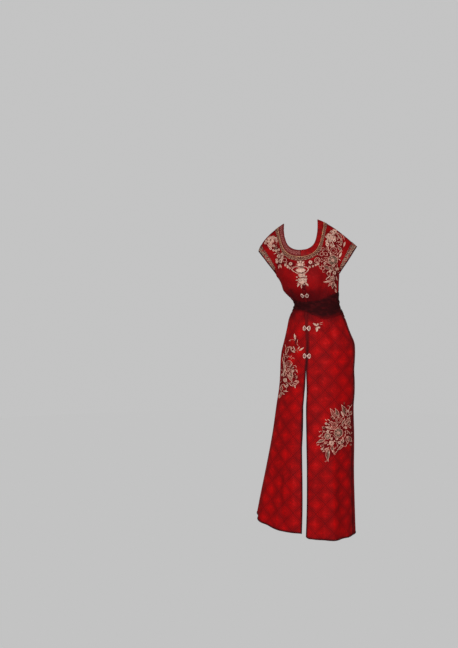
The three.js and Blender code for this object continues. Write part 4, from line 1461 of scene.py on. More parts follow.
@dataclass
class RobeBody:
    """The fronts and backs with everything sewn along their edges."""

    surfaces: dict[Side, RobeSurface]
    cloth: dict[str, bpy.types.Material]
    crown: float = 0.4
    # How fast the painted shade beside the side seams fades, on the fronts and on the backs.
    front_seam: float = 2.2
    back_seam: float = 0.4

    def build(self) -> list[bpy.types.Object]:
        """Makes every panel, band and binding of both halves.

        Returns:
            The pieces.
        """
        pieces = []
        for side, surface in self.surfaces.items():
            panels = self._panels(side, surface)
            neck = self._neck(side, surface)
            cuff, *bindings = self._edges(side, surface)
            for panel, binding in zip(panels, bindings):
                width, length, area = PANEL_FLAT[panel.name.removesuffix("_cloth")]
            pieces += [*panels, *neck, cuff, *bindings]
        return pieces

    def _panels(self, side: Side, surface: RobeSurface) -> list[bpy.types.Object]:
        """Makes the front and the back of one half, each a thin shell.

        Args:
            side: which half.
            surface: its outer face.

        Returns:
            The front, then the back.
        """
        made = []
        for part, is_front in (("front", True), ("back", False)):
            keep = (surface.quad_column < CUT.ridge) == is_front
            node = f"{part}_{side.value}"
            uv = surface.cloth_uv(is_front)
            cloth, lining = self.cloth["brocade"], self.cloth["lining"]
            seam = self.front_seam if is_front else self.back_seam
            piece = shell(node + "_cloth", surface, keep, -CUT.cloth, CUT.cloth, uv, cloth, lining, seam=seam)
            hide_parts(node)
            made.append(piece)
        return made

    def _neck(self, side: Side, surface: RobeSurface) -> list[bpy.types.Object]:
        """Makes what lies along one side's neckline.

        Args:
            side: which half.
            surface: its outer face.

        Returns:
            The figured band, the plain band and the piping.
        """
        made = []
        uv = surface.neck_uv()
        for slot, row, width, finish in (
            ("lace", TOP_ROW - 3, CUT.lace, "lace"),
            ("collar", TOP_ROW - 1, CUT.collar, f"collar_{side.value}"),
        ):
            node = f"{slot}_band_{side.value}"
            cloth = self.cloth[finish]
            keep = surface.quad_row == row
            piece = shell(node + "_cloth", surface, keep, CUT.lift, CUT.trim, uv, cloth, cloth, self.crown)
            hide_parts(node)
            made.append(piece)
        made.append(self._piping(side, surface))
        return made

    def _piping(self, side: Side, surface: RobeSurface) -> bpy.types.Object:
        """Makes the twisted piping between the two bands of one side.

        Args:
            side: which half.
            surface: its outer face.

        Returns:
            The cord.
        """
        row = int(np.searchsorted(surface.yoke_rows, TOP_ROW - 2))
        ids = surface.yoke_ids[row : row + 2]
        path = surface.points[ids].mean(0)
        normal = unit(surface.normals[ids].mean(0))
        node = f"neck_piping_{side.value}"
        piece = twisted_cord(node + "_cord", path, normal, CUT.piping / 2, self.cloth["piping"])
        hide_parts(node)
        return piece

    def _edges(self, side: Side, surface: RobeSurface) -> list[bpy.types.Object]:
        """Makes what is sewn round the free edges of one half.

        Args:
            side: which half.
            surface: its outer face.

        Returns:
            The cuff, the front's binding and the back's.
        """
        row, column = surface.quad_row, surface.quad_column
        lowest = min(ROW_HEIGHTS)
        heights = np.array([lowest, lowest, *ROW_HEIGHTS[2:]])
        above = heights[np.minimum(row + 1, UNDERARM_ROW)]
        is_body = row < UNDERARM_ROW
        is_sleeve = (column > CUT.side_columns) & (column < CUT.last - CUT.side_columns - 1)
        cuff = (row == UNDERARM_ROW) & is_sleeve
        front_edge = (column == 0) & (above < CUT.binding_top)
        front = is_body & (column < CUT.side_columns) & ((row == 0) | front_edge)
        back_edge = (column == CUT.last - 1) & (above < CUT.vent_top)
        back = is_body & (column >= CUT.last - CUT.side_columns) & ((row == 0) | back_edge)
        made = []
        for name, slot, keep, uv in (
            ("cuff", "cuff", cuff, surface.cuff_uv()),
            ("front_binding", "binding", front, surface.cloth_uv(True)),
            ("back_binding", "binding", back, surface.cloth_uv(False)),
        ):
            node = f"{name}_{side.value}"
            cloth = self.cloth[slot]
            piece = shell(node + "_cloth", surface, keep, CUT.lift, CUT.trim, uv, cloth, cloth, self.crown)
            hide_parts(node)
            made.append(piece)
        return made


def twisted_cord(
    name: str, path: np.ndarray, normal: np.ndarray, radius: float, material: bpy.types.Material
) -> bpy.types.Object:
    """Makes a two-ply cord along a path that lies on cloth.

    Args:
        name: the piece's name.
        path: the line on the cloth's face under it.
        normal: the outward direction at each of its points.
        radius: of the whole cord.
        material: its finish.

    Returns:
        The piece's object.
    """
    ply, turn, sides, cuts = radius * 0.56, radius * 4.4, 6, 10
    run = arc_length(path)
    count = int(run[-1] / (turn / cuts))
    at = np.linspace(CUT.drawn_in, run[-1] - CUT.drawn_in, count)
    up = unit(line_at(normal, run, at))
    line = line_at(path, run, at) + up * (CUT.lift + radius * 0.9)
    along = unit(np.gradient(line, axis=0))
    side = unit(np.cross(along, up))
    up = np.cross(side, along)
    points, faces = [], []
    for k in range(2):
        angle = math.tau * at / turn + math.pi * k
        centre = line + (radius - ply) * (np.cos(angle)[:, None] * side + np.sin(angle)[:, None] * up)
        base = sum(len(p) for p in points)
        ring = math.tau * np.arange(sides) / sides
        tube = centre[:, None] + ply * (
            np.cos(ring)[None, :, None] * side[:, None] + np.sin(ring)[None, :, None] * up[:, None]
        )
        points.append(tube.reshape(-1, 3))
        for i in range(count - 1):
            for j in range(sides):
                a, b = base + i * sides + j, base + i * sides + (j + 1) % sides
                faces.append([a, a + sides, b + sides, b])
        faces.append([base + j for j in range(sides)])
        faces.append([base + (count - 1) * sides + j for j in reversed(range(sides))])
    return mesh_piece(name, np.concatenate(points), faces, [material])


@dataclass
class Sash:
    """The crushed gauze wound once round the waist, in a front and a back stretch, its dark band standing in
    part for shade there.
    """

    surfaces: dict[Side, RobeSurface]
    material: bpy.types.Material
    rows: int = 44
    clear: float = 1.2
    over_binding: float = 0.8
    thin: float = 0.8
    crest: float = 3.9
    waver: float = 0.05
    uneven: float = 0.4
    fine: float = 0.1
    unwound: float = 0.45
    # Where the lower edge is drawn up most, how far round that reaches, and by what share.
    drawn_up: tuple[float, float, float] = (0.44, 0.19, 0.36)
    # Ridges of the gauze: place over the width, slant, width and height.
    ridges: tuple[tuple[float, float, float, float], ...] = (
        (-0.72, 0.30, 0.10, 0.8),
        (-0.38, -0.34, 0.13, 1.0),
        (-0.10, 0.26, 0.09, 0.75),
        (0.16, -0.30, 0.12, 0.95),
        (0.46, 0.32, 0.10, 0.8),
        (0.78, -0.26, 0.09, 0.7),
    )

    def build(self) -> list[bpy.types.Object]:
        """Makes both stretches.

        Returns:
            The front stretch, then the back one.
        """
        wide = self.surfaces[Side.LEFT].body_columns.size
        half = wide // 2
        front = [(Side.RIGHT, k) for k in range(half, -1, -1)] + [(Side.LEFT, k) for k in range(half + 1)]
        back = [(Side.LEFT, k) for k in range(half, wide)]
        back += [(Side.RIGHT, k) for k in range(wide - 1, half - 1, -1)]
        made = []
        for name, places in (("sash_front", front), ("sash_back", back)):
            piece = self._stretch(name + "_gauze", places)
            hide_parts(name)
            made.append(piece)
        return made

    def _height(self, u: float, share: np.ndarray) -> np.ndarray:
        """How thick the crushed gauze stands.

        Args:
            u: place round the body.
            share: places over its width, from -1 to 1.

        Returns:
            The thickness at each.
        """
        # Waves of odd lengths keep the ridges uneven, so that none repeats round the waist.
        out = np.zeros_like(share)
        for middle, slope, wide, tall in self.ridges:
            slant = slope * math.sin(math.pi * (1.6 * u + middle))
            line = middle + slant + self.waver * math.sin(19 * u + 7 * middle)
            strength = 1 - self.uneven + self.uneven * math.sin(11 * u + 9 * middle)
            out = np.maximum(out, tall * strength * np.exp(-(((share - line) / wide) ** 2)))
        fine = self.fine * np.sin(31 * share + 23 * u) * np.sin(9 * u - 5 * share)
        return self.thin + self.crest * np.clip(out + fine, 0, 1) * (1 - share**4)

    def _stretch(self, name: str, places: list[tuple[Side, int]]) -> bpy.types.Object:
        """Makes one stretch as a closed shell on the robe's own columns.

        Args:
            name: the piece's name.
            places: the side and fine column of each place along it.

        Returns:
            The piece's object.
        """
        share = np.linspace(-1, 1, self.rows + 1)
        foot, rise, clear, uv = [], [], [], []
        hip, reach, most = self.drawn_up
        for side, k in places:
            surface = self.surfaces[side]
            column = surface.points[surface.body_ids[:, k]]
            coarse = surface.body_columns[k]
            whole = coarse if coarse <= CUT.side_columns else coarse + CUT.last - 2 * CUT.side_columns
            u = side.sign * self._place(surface, whole)
            middle, half = float(read_at(SASH, "u", u, "z")), float(read_at(SASH, "u", u, "half"))
            half *= 1 + 0.03 * math.sin(15 * u) + 0.02 * math.sin(41 * u)
            short = most * smooth(1.4 - abs(u - hip) / reach)
            z = middle + half * np.where(share < 0, 1 - short, 1) * share
            foot.append(line_at(column, column[:, 2], z))
            rise.append(self._height(u, share))
            near = 1 if coarse <= 1 or coarse >= 2 * CUT.side_columns - 1 else 0
            clear.append(np.full(len(share), self.clear + near * self.over_binding))
            uv.append(np.stack([np.full(len(share), u * self.unwound), share], 1))
        grid = np.array(foot).transpose(1, 0, 2)
        out = grid_normals(grid)
        lift, high = np.array(clear).T[..., None], np.array(rise).T[..., None]
        for _ in range(3):
            lift[:, 1:-1] = (lift[:, :-2] + lift[:, 1:-1] + lift[:, 2:]) / 3
        inner, outer = grid + out * lift, grid + out * (lift + high)
        rows, wide = grid.shape[:2]
        ids = np.arange(rows * wide).reshape(rows, wide)
        n = rows * wide
        cells = grid_cells(ids)
        rim = np.concatenate([ids[0, :], ids[1:, -1], ids[-1, -2::-1], ids[-2:0:-1, 0]])
        after = np.roll(rim, -1)
        walls = np.stack([rim, after, after + n, rim + n], 1)
        faces = np.concatenate([cells + n, walls, cells[:, ::-1]])
        points = np.concatenate([inner.reshape(-1, 3), outer.reshape(-1, 3)])
        pairs = np.array(uv).transpose(1, 0, 2).reshape(-1, 2)
        return mesh_piece(name, points, faces, [self.material], np.tile(pairs, (2, 1)))

    @staticmethod
    def _place(surface: RobeSurface, column: float) -> float:
        """The place round the body of a column that may lie between two of the net's own.

        Args:
            surface: the half it is on.
            column: the column, with its share of the next.

        Returns:
            The place.
        """
        low, z = int(column), float(SASH["z"][0])
        share = column - low
        at = surface.form.place(surface.side, low, z)
        if share == 0:
            return at
        return at + (surface.form.place(surface.side, low + 1, z) - at) * share


class ClaspName(Enum):
    """The three clasps down the centre front, by height."""

    UPPER = -309
    MIDDLE = -444
    LOWER = -556


@dataclass
class Clasp:
    """A fastened pair: a lobed rosette on each side, and a tongue from each over or under the other."""

    surfaces: dict[Side, RobeSurface]
    material: bpy.types.Material
    width: float = 14
    height: float = 21
    offset: float = 10
    lobes: int = 8
    wave: float = 0.05
    rim: float = 1.8
    dome: float = 2.4
    clear: float = 2
    tongue: float = 3.4
    around: int = 60
    beads: int = 20
    bead: float = 1.5
    # Where the beads lie: share of the plate's outline, and height in rims.
    bead_ring: tuple[float, float] = (0.88, 1.35)
    painted_tongue_shade: float = 0.55
    # The tongue's corners, and its lower and upper face and its reach past the centre line, where it
    # lies under the other half's and where it lies over it.
    bar_cuts: int = 12
    under: tuple[float, float, float] = (0.0, 1.1, -1.0)
    over: tuple[float, float, float] = (1.5, 2.6, 2.4)
    boss: float = 2.45
    # Rings of the plate from its edge inwards: share of its outline, and height in rims.
    rings: tuple[tuple[float, float], ...] = (
        (1.0, 0.0),
        (1.0, 0.6),
        (0.95, 1.1),
        (0.84, 1.6),
        (0.72, 1.7),
        (0.6, 1.35),
        (0.5, 0.8),
        (0.36, 0.75),
        (0.26, 1.6),
        (0.12, 2.3),
    )
    rims: dict[str, tuple[np.ndarray, np.ndarray]] = field(default_factory=dict)

    def build(self) -> list[bpy.types.Object]:
        """Makes both halves of all three, then their beads.

        Returns:
            The pieces.
        """
        made = []
        for name in ClaspName:
            for side in Side:
                piece = self._half(name, side)
                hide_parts(f"clasp_{name.name.lower()}_{side.value}")
                made.append(piece)
        return made + self._beading()

    def _beading(self) -> list[bpy.types.Object]:
        """Sets a ring of small beads round every rosette.

        Returns:
            The pieces.
        """
        tree, made = scatter_tree("clasp_beads", False), []
        for name, (ring, outward) in self.rims.items():
            at = ring[:: self.around // self.beads]
            out = np.tile(outward, (len(at), 1))
            sizes = np.full((len(at), 3), self.bead * MM)
            values = {"aim": unit(np.roll(at, -1, 0) - at), "out": out, "size": sizes}
            piece = grow(name + "_beads", tree, at, [], values, {"Size": 1.0, "Material": self.material})
            made.append(piece)
        return made

    def _half(self, name: ClaspName, side: Side) -> bpy.types.Object:
        """Makes one half, the plate and its tongue as one cast piece, and notes where its beads go.

        Args:
            name: which clasp.
            side: which half.

        Returns:
            The piece's object.
        """
        surface, z = self.surfaces[side], name.value
        centre = surface.on_front(self.offset, z)
        across = unit(surface.on_front(self.offset + 4, z) - surface.on_front(2, z))
        upwards = surface.on_front(self.offset, z + 8) - surface.on_front(self.offset, z - 8)
        upwards = unit(upwards - across * (upwards @ across))
        outward = np.cross(across, upwards) * side.sign

        def place(angle: np.ndarray, radius: np.ndarray, height: np.ndarray) -> np.ndarray:
            """Places round the rosette, in millimetres.

            Args:
                angle: round from the side away from the centre line.
                radius: out from its middle.
                height: above the cloth that it clears.

            Returns:
                The points.
            """
            flat = -np.cos(angle) * radius
            tall = np.sin(angle) * radius
            rise = self.clear + height
            return centre + flat[..., None] * across + tall[..., None] * upwards + rise[..., None] * outward

        angle = math.tau * np.arange(self.around) / self.around
        lobed = 1 + self.wave * np.cos(self.lobes * (angle - math.pi))
        plate = lobed / np.hypot(2 * np.cos(angle) / self.width, 2 * np.sin(angle) / self.height)
        grid, deep = [], []
        for share, height in self.rings:
            scallop = 0.18 * smooth((share - 0.5) * 5) * smooth((0.98 - share) * 9)
            lift = scallop * self.dome * np.cos(self.lobes * 2 * angle)
            grid.append(place(angle, plate * share, self.rim * height + lift))
            deep += [float(smooth((0.66 - share) * 9) * smooth((share - 0.14) * 9))] * self.around
        middle = np.zeros(1)
        foot, boss = (place(middle, middle, np.full(1, height)) for height in (0.0, self.rim * self.boss))
        points = [np.concatenate(grid), foot, boss]
        n, last = self.around, len(self.rings) - 1
        faces = []
        for i in range(n):
            j = (i + 1) % n
            for ring in range(last):
                faces.append([ring * n + i, ring * n + j, ring * n + n + j, ring * n + n + i])
            faces.append([last * n + i, last * n + j, (last + 1) * n + 1])
            faces.append([j, i, (last + 1) * n])
        base = sum(len(p) for p in points)
        bar, bar_faces = self._tongue(place, side is Side.LEFT)
        points.append(bar)
        faces += [[base + v for v in face] for face in bar_faces]
        # The tongue gets painted shade, mixed a share towards the worn colour.
        deep += [0.0, 0.0] + [self.painted_tongue_shade] * len(bar)
        if side is Side.LEFT:
            faces = [face[::-1] for face in faces]
        node = f"clasp_{name.name.lower()}_{side.value}"
        share, height = self.bead_ring
        self.rims[node] = (place(angle, plate * share, np.full(n, self.rim * height)), outward)
        cast = np.concatenate(points)
        return mesh_piece(node + "_cast", cast, faces, [self.material], values={"deep": np.array(deep)})

    def _tongue(self, place: object, is_over: bool) -> tuple[np.ndarray, list[list[int]]]:
        """Makes the bar that runs from a rosette towards the centre line.

        Args:
            place: gives places round the rosette.
            is_over: whether it lies over the other half's ledge.

        Returns:
            The bar's points and faces.
        """
        low, high, past = self.over if is_over else self.under
        reach = self.offset + past
        sections = (
            (0.3 * self.width, 1.0),
            (0.7 * reach, 0.72),
            (0.86 * reach, 0.8),
            (reach - 0.8, 1.0),
            (reach, 0.8),
        )
        n = self.bar_cuts
        ring = math.tau * (np.arange(n) + 0.5) / n
        across = np.sign(np.cos(ring)) * abs(np.cos(ring)) ** 0.5 * self.tongue
        tall = (low + high) / 2 + np.sign(np.sin(ring)) * abs(np.sin(ring)) ** 0.7 * (high - low) / 2
        grid = []
        for far, narrow in sections:
            side = across * narrow
            grid.append(place(math.pi - np.arctan2(side, -far), np.hypot(side, far), tall))
        faces = []
        for i in range(len(sections) - 1):
            for j in range(n):
                a, b = i * n + j, i * n + (j + 1) % n
                faces.append([a, b, b + n, a + n])
        faces.append(list(range(n - 1, -1, -1)))
        faces.append([(len(sections) - 1) * n + j for j in range(n)])
        return np.concatenate(grid), faces


class Tree:
    """Builds one geometry tree, its sizes as named inputs."""

    def __init__(self, name: str) -> None:
        """Starts a tree that takes and gives one geometry.

        Args:
            name: the tree's name.
        """
        self.group = bpy.data.node_groups.new(name, "GeometryNodeTree")
        for way in ("INPUT", "OUTPUT"):
            self.group.interface.new_socket("Geometry", in_out=way, socket_type="NodeSocketGeometry")
        self.start = self.group.nodes.new("NodeGroupInput")
        self.end = self.group.nodes.new("NodeGroupOutput")

    def size(self, name: str, kind: str = "NodeSocketFloat") -> bpy.types.NodeSocket:
        """Adds a named input.

        Args:
            name: what it sets.
            kind: its socket's type.

        Returns:
            The socket that brings it in.
        """
        self.group.interface.new_socket(name, in_out="INPUT", socket_type=kind)
        return self.start.outputs[name]

    def node(self, kind: str, inputs: dict | None = None, **settings: object) -> bpy.types.Node:
        """Adds a node.

        Args:
            kind: its full type.
            inputs: sockets by identifier or number, each given a value or linked from a socket.
            settings: its own properties.

        Returns:
            The node.
        """
        made = self.group.nodes.new(kind)
        for key, value in settings.items():
            setattr(made, key, value)
        for key, value in (inputs or {}).items():
            at = key if isinstance(key, int) else [i.identifier for i in made.inputs].index(key)
            if isinstance(value, bpy.types.NodeSocket):
                self.group.links.new(value, made.inputs[at])
            else:
                made.inputs[at].default_value = value
        return made

    def read(self, name: str, kind: str = "FLOAT") -> bpy.types.NodeSocket:
        """A value kept with each point."""
        made = self.node("GeometryNodeInputNamedAttribute", {"Name": name}, data_type=kind)
        return made.outputs["Attribute"]

    def close(self, geometry: bpy.types.NodeSocket) -> bpy.types.NodeTree:
        """Ends the tree in Realize Instances and Set Material.

        Args:
            geometry: what the tree has made.

        Returns:
            The finished tree.
        """
        real = self.node("GeometryNodeRealizeInstances", {0: geometry})
        finish = self.size("Material", "NodeSocketMaterial")
        dressed = self.node("GeometryNodeSetMaterial", {"Geometry": real.outputs[0], "Material": finish})
        self.group.links.new(dressed.outputs[0], self.end.inputs[0])
        return self.group


def thread_tree() -> bpy.types.NodeTree:
    """Couched thread: a round cord along every line, as thick as its points say.

    Returns:
        The tree.
    """
    t = Tree("couched_thread")
    thick = t.size("Thickness")
    sides = t.size("Sides", "NodeSocketInt")
    line = t.node("GeometryNodeMeshToCurve", {0: t.start.outputs[0]})
    sized = t.node("GeometryNodeSetCurveRadius", {"Curve": line.outputs[0], "Radius": t.read("thick")})
    half = t.node("ShaderNodeMath", {0: thick, 1: 0.5}, operation="MULTIPLY")
    ring = t.node("GeometryNodeCurvePrimitiveCircle", {"Resolution": sides, "Radius": half.outputs[0]})
    inputs = {"Curve": sized.outputs[0], "Profile Curve": ring.outputs[0], "Fill Caps": True}
    tube = t.node("GeometryNodeCurveToMesh", inputs)
    if "Scale" in tube.inputs:
        t.group.links.new(t.read("thick"), tube.inputs["Scale"])
    soft = t.node("GeometryNodeSetShadeSmooth", {0: tube.outputs[0]})
    return t.close(soft.outputs[0])


def scatter_tree(name: str, has_object: bool) -> bpy.types.NodeTree:
    """One small shape on every point, turned along its aim with its face outwards.

    Args:
        name: the tree's name.
        has_object: whether the shape is another object's mesh, or else a bead.

    Returns:
        The tree.
    """
    t = Tree(name)
    size = t.size("Size")
    if has_object:
        shape = t.size("Shape", "NodeSocketObject")
        mesh = t.node("GeometryNodeObjectInfo", {"Object": shape}).outputs["Geometry"]
    else:
        mesh = t.node("GeometryNodeMeshUVSphere", {"Segments": 8, "Rings": 6, "Radius": 0.5}).outputs["Mesh"]
    aim = {"Vector": t.read("aim", "FLOAT_VECTOR")}
    along = t.node("FunctionNodeAlignRotationToVector", aim, axis="X")
    inputs = {"Rotation": along.outputs[0], "Vector": t.read("out", "FLOAT_VECTOR")}
    facing = t.node("FunctionNodeAlignRotationToVector", inputs, axis="Z", pivot_axis="X")
    inputs = {0: t.read("size", "FLOAT_VECTOR"), "Scale": size}
    scale = t.node("ShaderNodeVectorMath", inputs, operation="SCALE")
    inputs = {"Points": t.start.outputs[0], "Instance": mesh, "Rotation": facing.outputs[0]}
    spread = t.node("GeometryNodeInstanceOnPoints", {**inputs, "Scale": scale.outputs[0]})
    return t.close(spread.outputs[0])


def grow(
    name: str,
    tree: bpy.types.NodeTree,
    points: np.ndarray,
    edges: list[tuple[int, int]],
    values: dict[str, np.ndarray],
    inputs: dict[str, object],
) -> bpy.types.Object:
    """Runs a geometry tree over points and keeps the result as a plain mesh.

    Args:
        name: the piece's name.
        tree: the tree.
        points: its points, in millimetres.
        edges: the lines between them.
        values: numbers or vectors kept with each point.
        inputs: the tree's inputs, by name.

    Returns:
        The piece's object.
    """
    source = bpy.data.meshes.new(name + "_plan")
    source.from_pydata((np.asarray(points) * MM).tolist(), edges, [])
    for key, numbers in values.items():
        numbers = np.asarray(numbers, np.float32)
        kind, part = ("FLOAT_VECTOR", "vector") if numbers.ndim == 2 else ("FLOAT", "value")
        source.attributes.new(key, kind, "POINT").data.foreach_set(part, numbers.ravel())
    plan = in_scene(name + "_plan", source)
    modifier = plan.modifiers.new("grow", "NODES")
    modifier.node_group = tree
    for item in tree.interface.items_tree:
        if item.item_type == "SOCKET" and item.in_out == "INPUT" and item.name in inputs:
            modifier[item.identifier] = inputs[item.name]
    plan.update_tag()
    bpy.context.view_layer.update()
    graph = bpy.context.evaluated_depsgraph_get()
    mesh = bpy.data.meshes.new_from_object(plan.evaluated_get(graph))
    plan.modifiers.clear()
    bpy.data.objects.remove(plan)
    bpy.data.meshes.remove(source)
    mesh.name = name
    piece = in_scene(name, mesh)
    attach(piece, "root")
    return piece


@dataclass(frozen=True)
class Lamp:
    """A round soft lamp."""

    name: str
    where: tuple[float, float, float]
    size: float
    power: float


@dataclass
class Studio:
    """A plain pale floor that curves up behind, soft lights, and the camera."""

    floor: float = -1.4
    round: float = 7.0
    wall: float = 6.0
    corner: float = 2.0
    corner_cuts: int = 12
    around: int = 96
    pale: Colour = rgb(195, 195, 195)
    dim: tuple[Colour, Colour] = (rgb(30, 30, 30), rgb(34, 34, 34))
    sky: float = 0.2
    lit: tuple[float, float, float] = (0.02, 0, -0.62)
    lamps: tuple[Lamp, ...] = (
        Lamp("key_lamp", (-0.3, -4.2, 0.1), 1.4, 133),
        Lamp("left_lamp", (3.4, -0.8, 0.6), 1.6, 16),
        Lamp("right_lamp", (-3.4, -0.8, 0.6), 1.6, 16),
        Lamp("back_lamp", (0.3, 4.0, 0.6), 1.6, 110),
    )
    eye: tuple[float, float, float] = (0.019, -3.780, -0.328)
    yaw: float = 4.83
    pitch: float = 1.53
    lens: float = 50
    sensor: float = 36
    frame: tuple[int, int] = (458, 648)

    def build(self) -> None:
        """Makes the stage, lights it and sets the camera."""
        self._stage()
        self._lights()
        self._camera()

    def _stage(self) -> None:
        """Turns the floor and its curved wall, one surface all round."""
        start = self.round - self.corner
        profile = [(start, 0.0)]
        for i in range(1, self.corner_cuts + 1):
            a = math.pi / 2 * i / self.corner_cuts
            profile.append((start + self.corner * math.sin(a), self.corner * (1 - math.cos(a))))
        profile.append((self.round, self.wall))
        around, points, faces = self.around, [], []
        for radius, height in profile:
            for k in range(around):
                a = math.tau * k / around
                points.append((radius * math.cos(a), radius * math.sin(a), self.floor + height))
        for i in range(len(profile) - 1):
            for k in range(around):
                j = (k + 1) % around
                faces.append((i * around + k, i * around + j, (i + 1) * around + j, (i + 1) * around + k))
        faces.append(tuple(range(around)))
        mesh = bpy.data.meshes.new("studio_floor")
        mesh.from_pydata(points, [], faces)
        mesh.shade_smooth()
        glow = {"Emission_Color": self.pale, "Emission_Strength": 1.0}
        s = Shader("studio_grey", 1.0, Specular_IOR_Level=0.0, **glow)
        cloud = s.noise(s.place(), 0.4, 1)
        mesh.materials.append(s.finish(s.mix(cloud, *self.dim)))
        stage = in_scene("studio_floor", mesh)
        stage.visible_diffuse = stage.visible_glossy = False

    def _lights(self) -> None:
        """Sets a soft lamp by the camera, weaker ones at the sides and behind, and an even sky."""
        world = bpy.data.worlds.new("studio_air")
        bpy.context.scene.world = world
        world.use_nodes = True
        sky = world.node_tree.nodes["Background"]
        sky.inputs["Color"].default_value = (1, 1, 1, 1)
        sky.inputs["Strength"].default_value = self.sky
        for lamp in self.lamps:
            data = bpy.data.lights.new(lamp.name, "AREA")
            data.shape, data.size, data.energy = "DISK", lamp.size, lamp.power
            stand = in_scene(lamp.name, data)
            stand.location = lamp.where
            aim = Vector(self.lit) - Vector(lamp.where)
            stand.rotation_euler = aim.to_track_quat("-Z", "Y").to_euler()

    def _axes(self) -> tuple[Vector, Vector, Vector, float]:
        """Works out the camera's own directions.

        Returns:
            Ahead, to its right and upwards, and the focal length in points of the view.
        """
        yaw, pitch = math.radians(self.yaw), math.radians(self.pitch)
        ahead = Vector((-math.sin(yaw) * math.cos(pitch), math.cos(yaw) * math.cos(pitch), -math.sin(pitch)))
        across = ahead.cross(Vector((0, 0, 1))).normalized()
        return ahead, across, across.cross(ahead), self.frame[1] * self.lens / self.sensor

    def sight(self, x: float, y: float) -> Vector:
        """Which way a point of the 458 by 648 view lies from the camera.

        Args:
            x: across the view.
            y: down the view.

        Returns:
            The direction, one long.
        """
        ahead, across, upwards, far = self._axes()
        level = ahead * far + across * (x - self.frame[0] / 2)
        return (level + upwards * (self.frame[1] / 2 - y)).normalized()

    def seen(self, point: Vector) -> tuple[float, float]:
        """Where in the view a point falls.

        Args:
            point: the point, in metres.

        Returns:
            How far across and down.
        """
        ahead, across, upwards, far = self._axes()
        off = point - Vector(self.eye)
        far /= off.dot(ahead)
        return self.frame[0] / 2 + off.dot(across) * far, self.frame[1] / 2 - off.dot(upwards) * far

    def _camera(self) -> None:
        """Stands the camera where the view was taken from."""
        data = bpy.data.cameras.new("camera")
        data.lens, data.sensor_width, data.sensor_fit = self.lens, self.sensor, "AUTO"
        data.clip_start, data.clip_end = 0.05, 60
        camera = in_scene("camera", data)
        camera.location = self.eye
        camera.rotation_euler = self._axes()[0].to_track_quat("-Z", "Y").to_euler()
        bpy.context.scene.camera = camera
        bpy.context.scene.view_settings.view_transform = "Standard"


class Silk(Enum):
    """The threads that the fronts are embroidered in."""

    LINE = 0
    SAGE = 1
    CREAM = 2
    ORANGE = 3
    DARK = 4


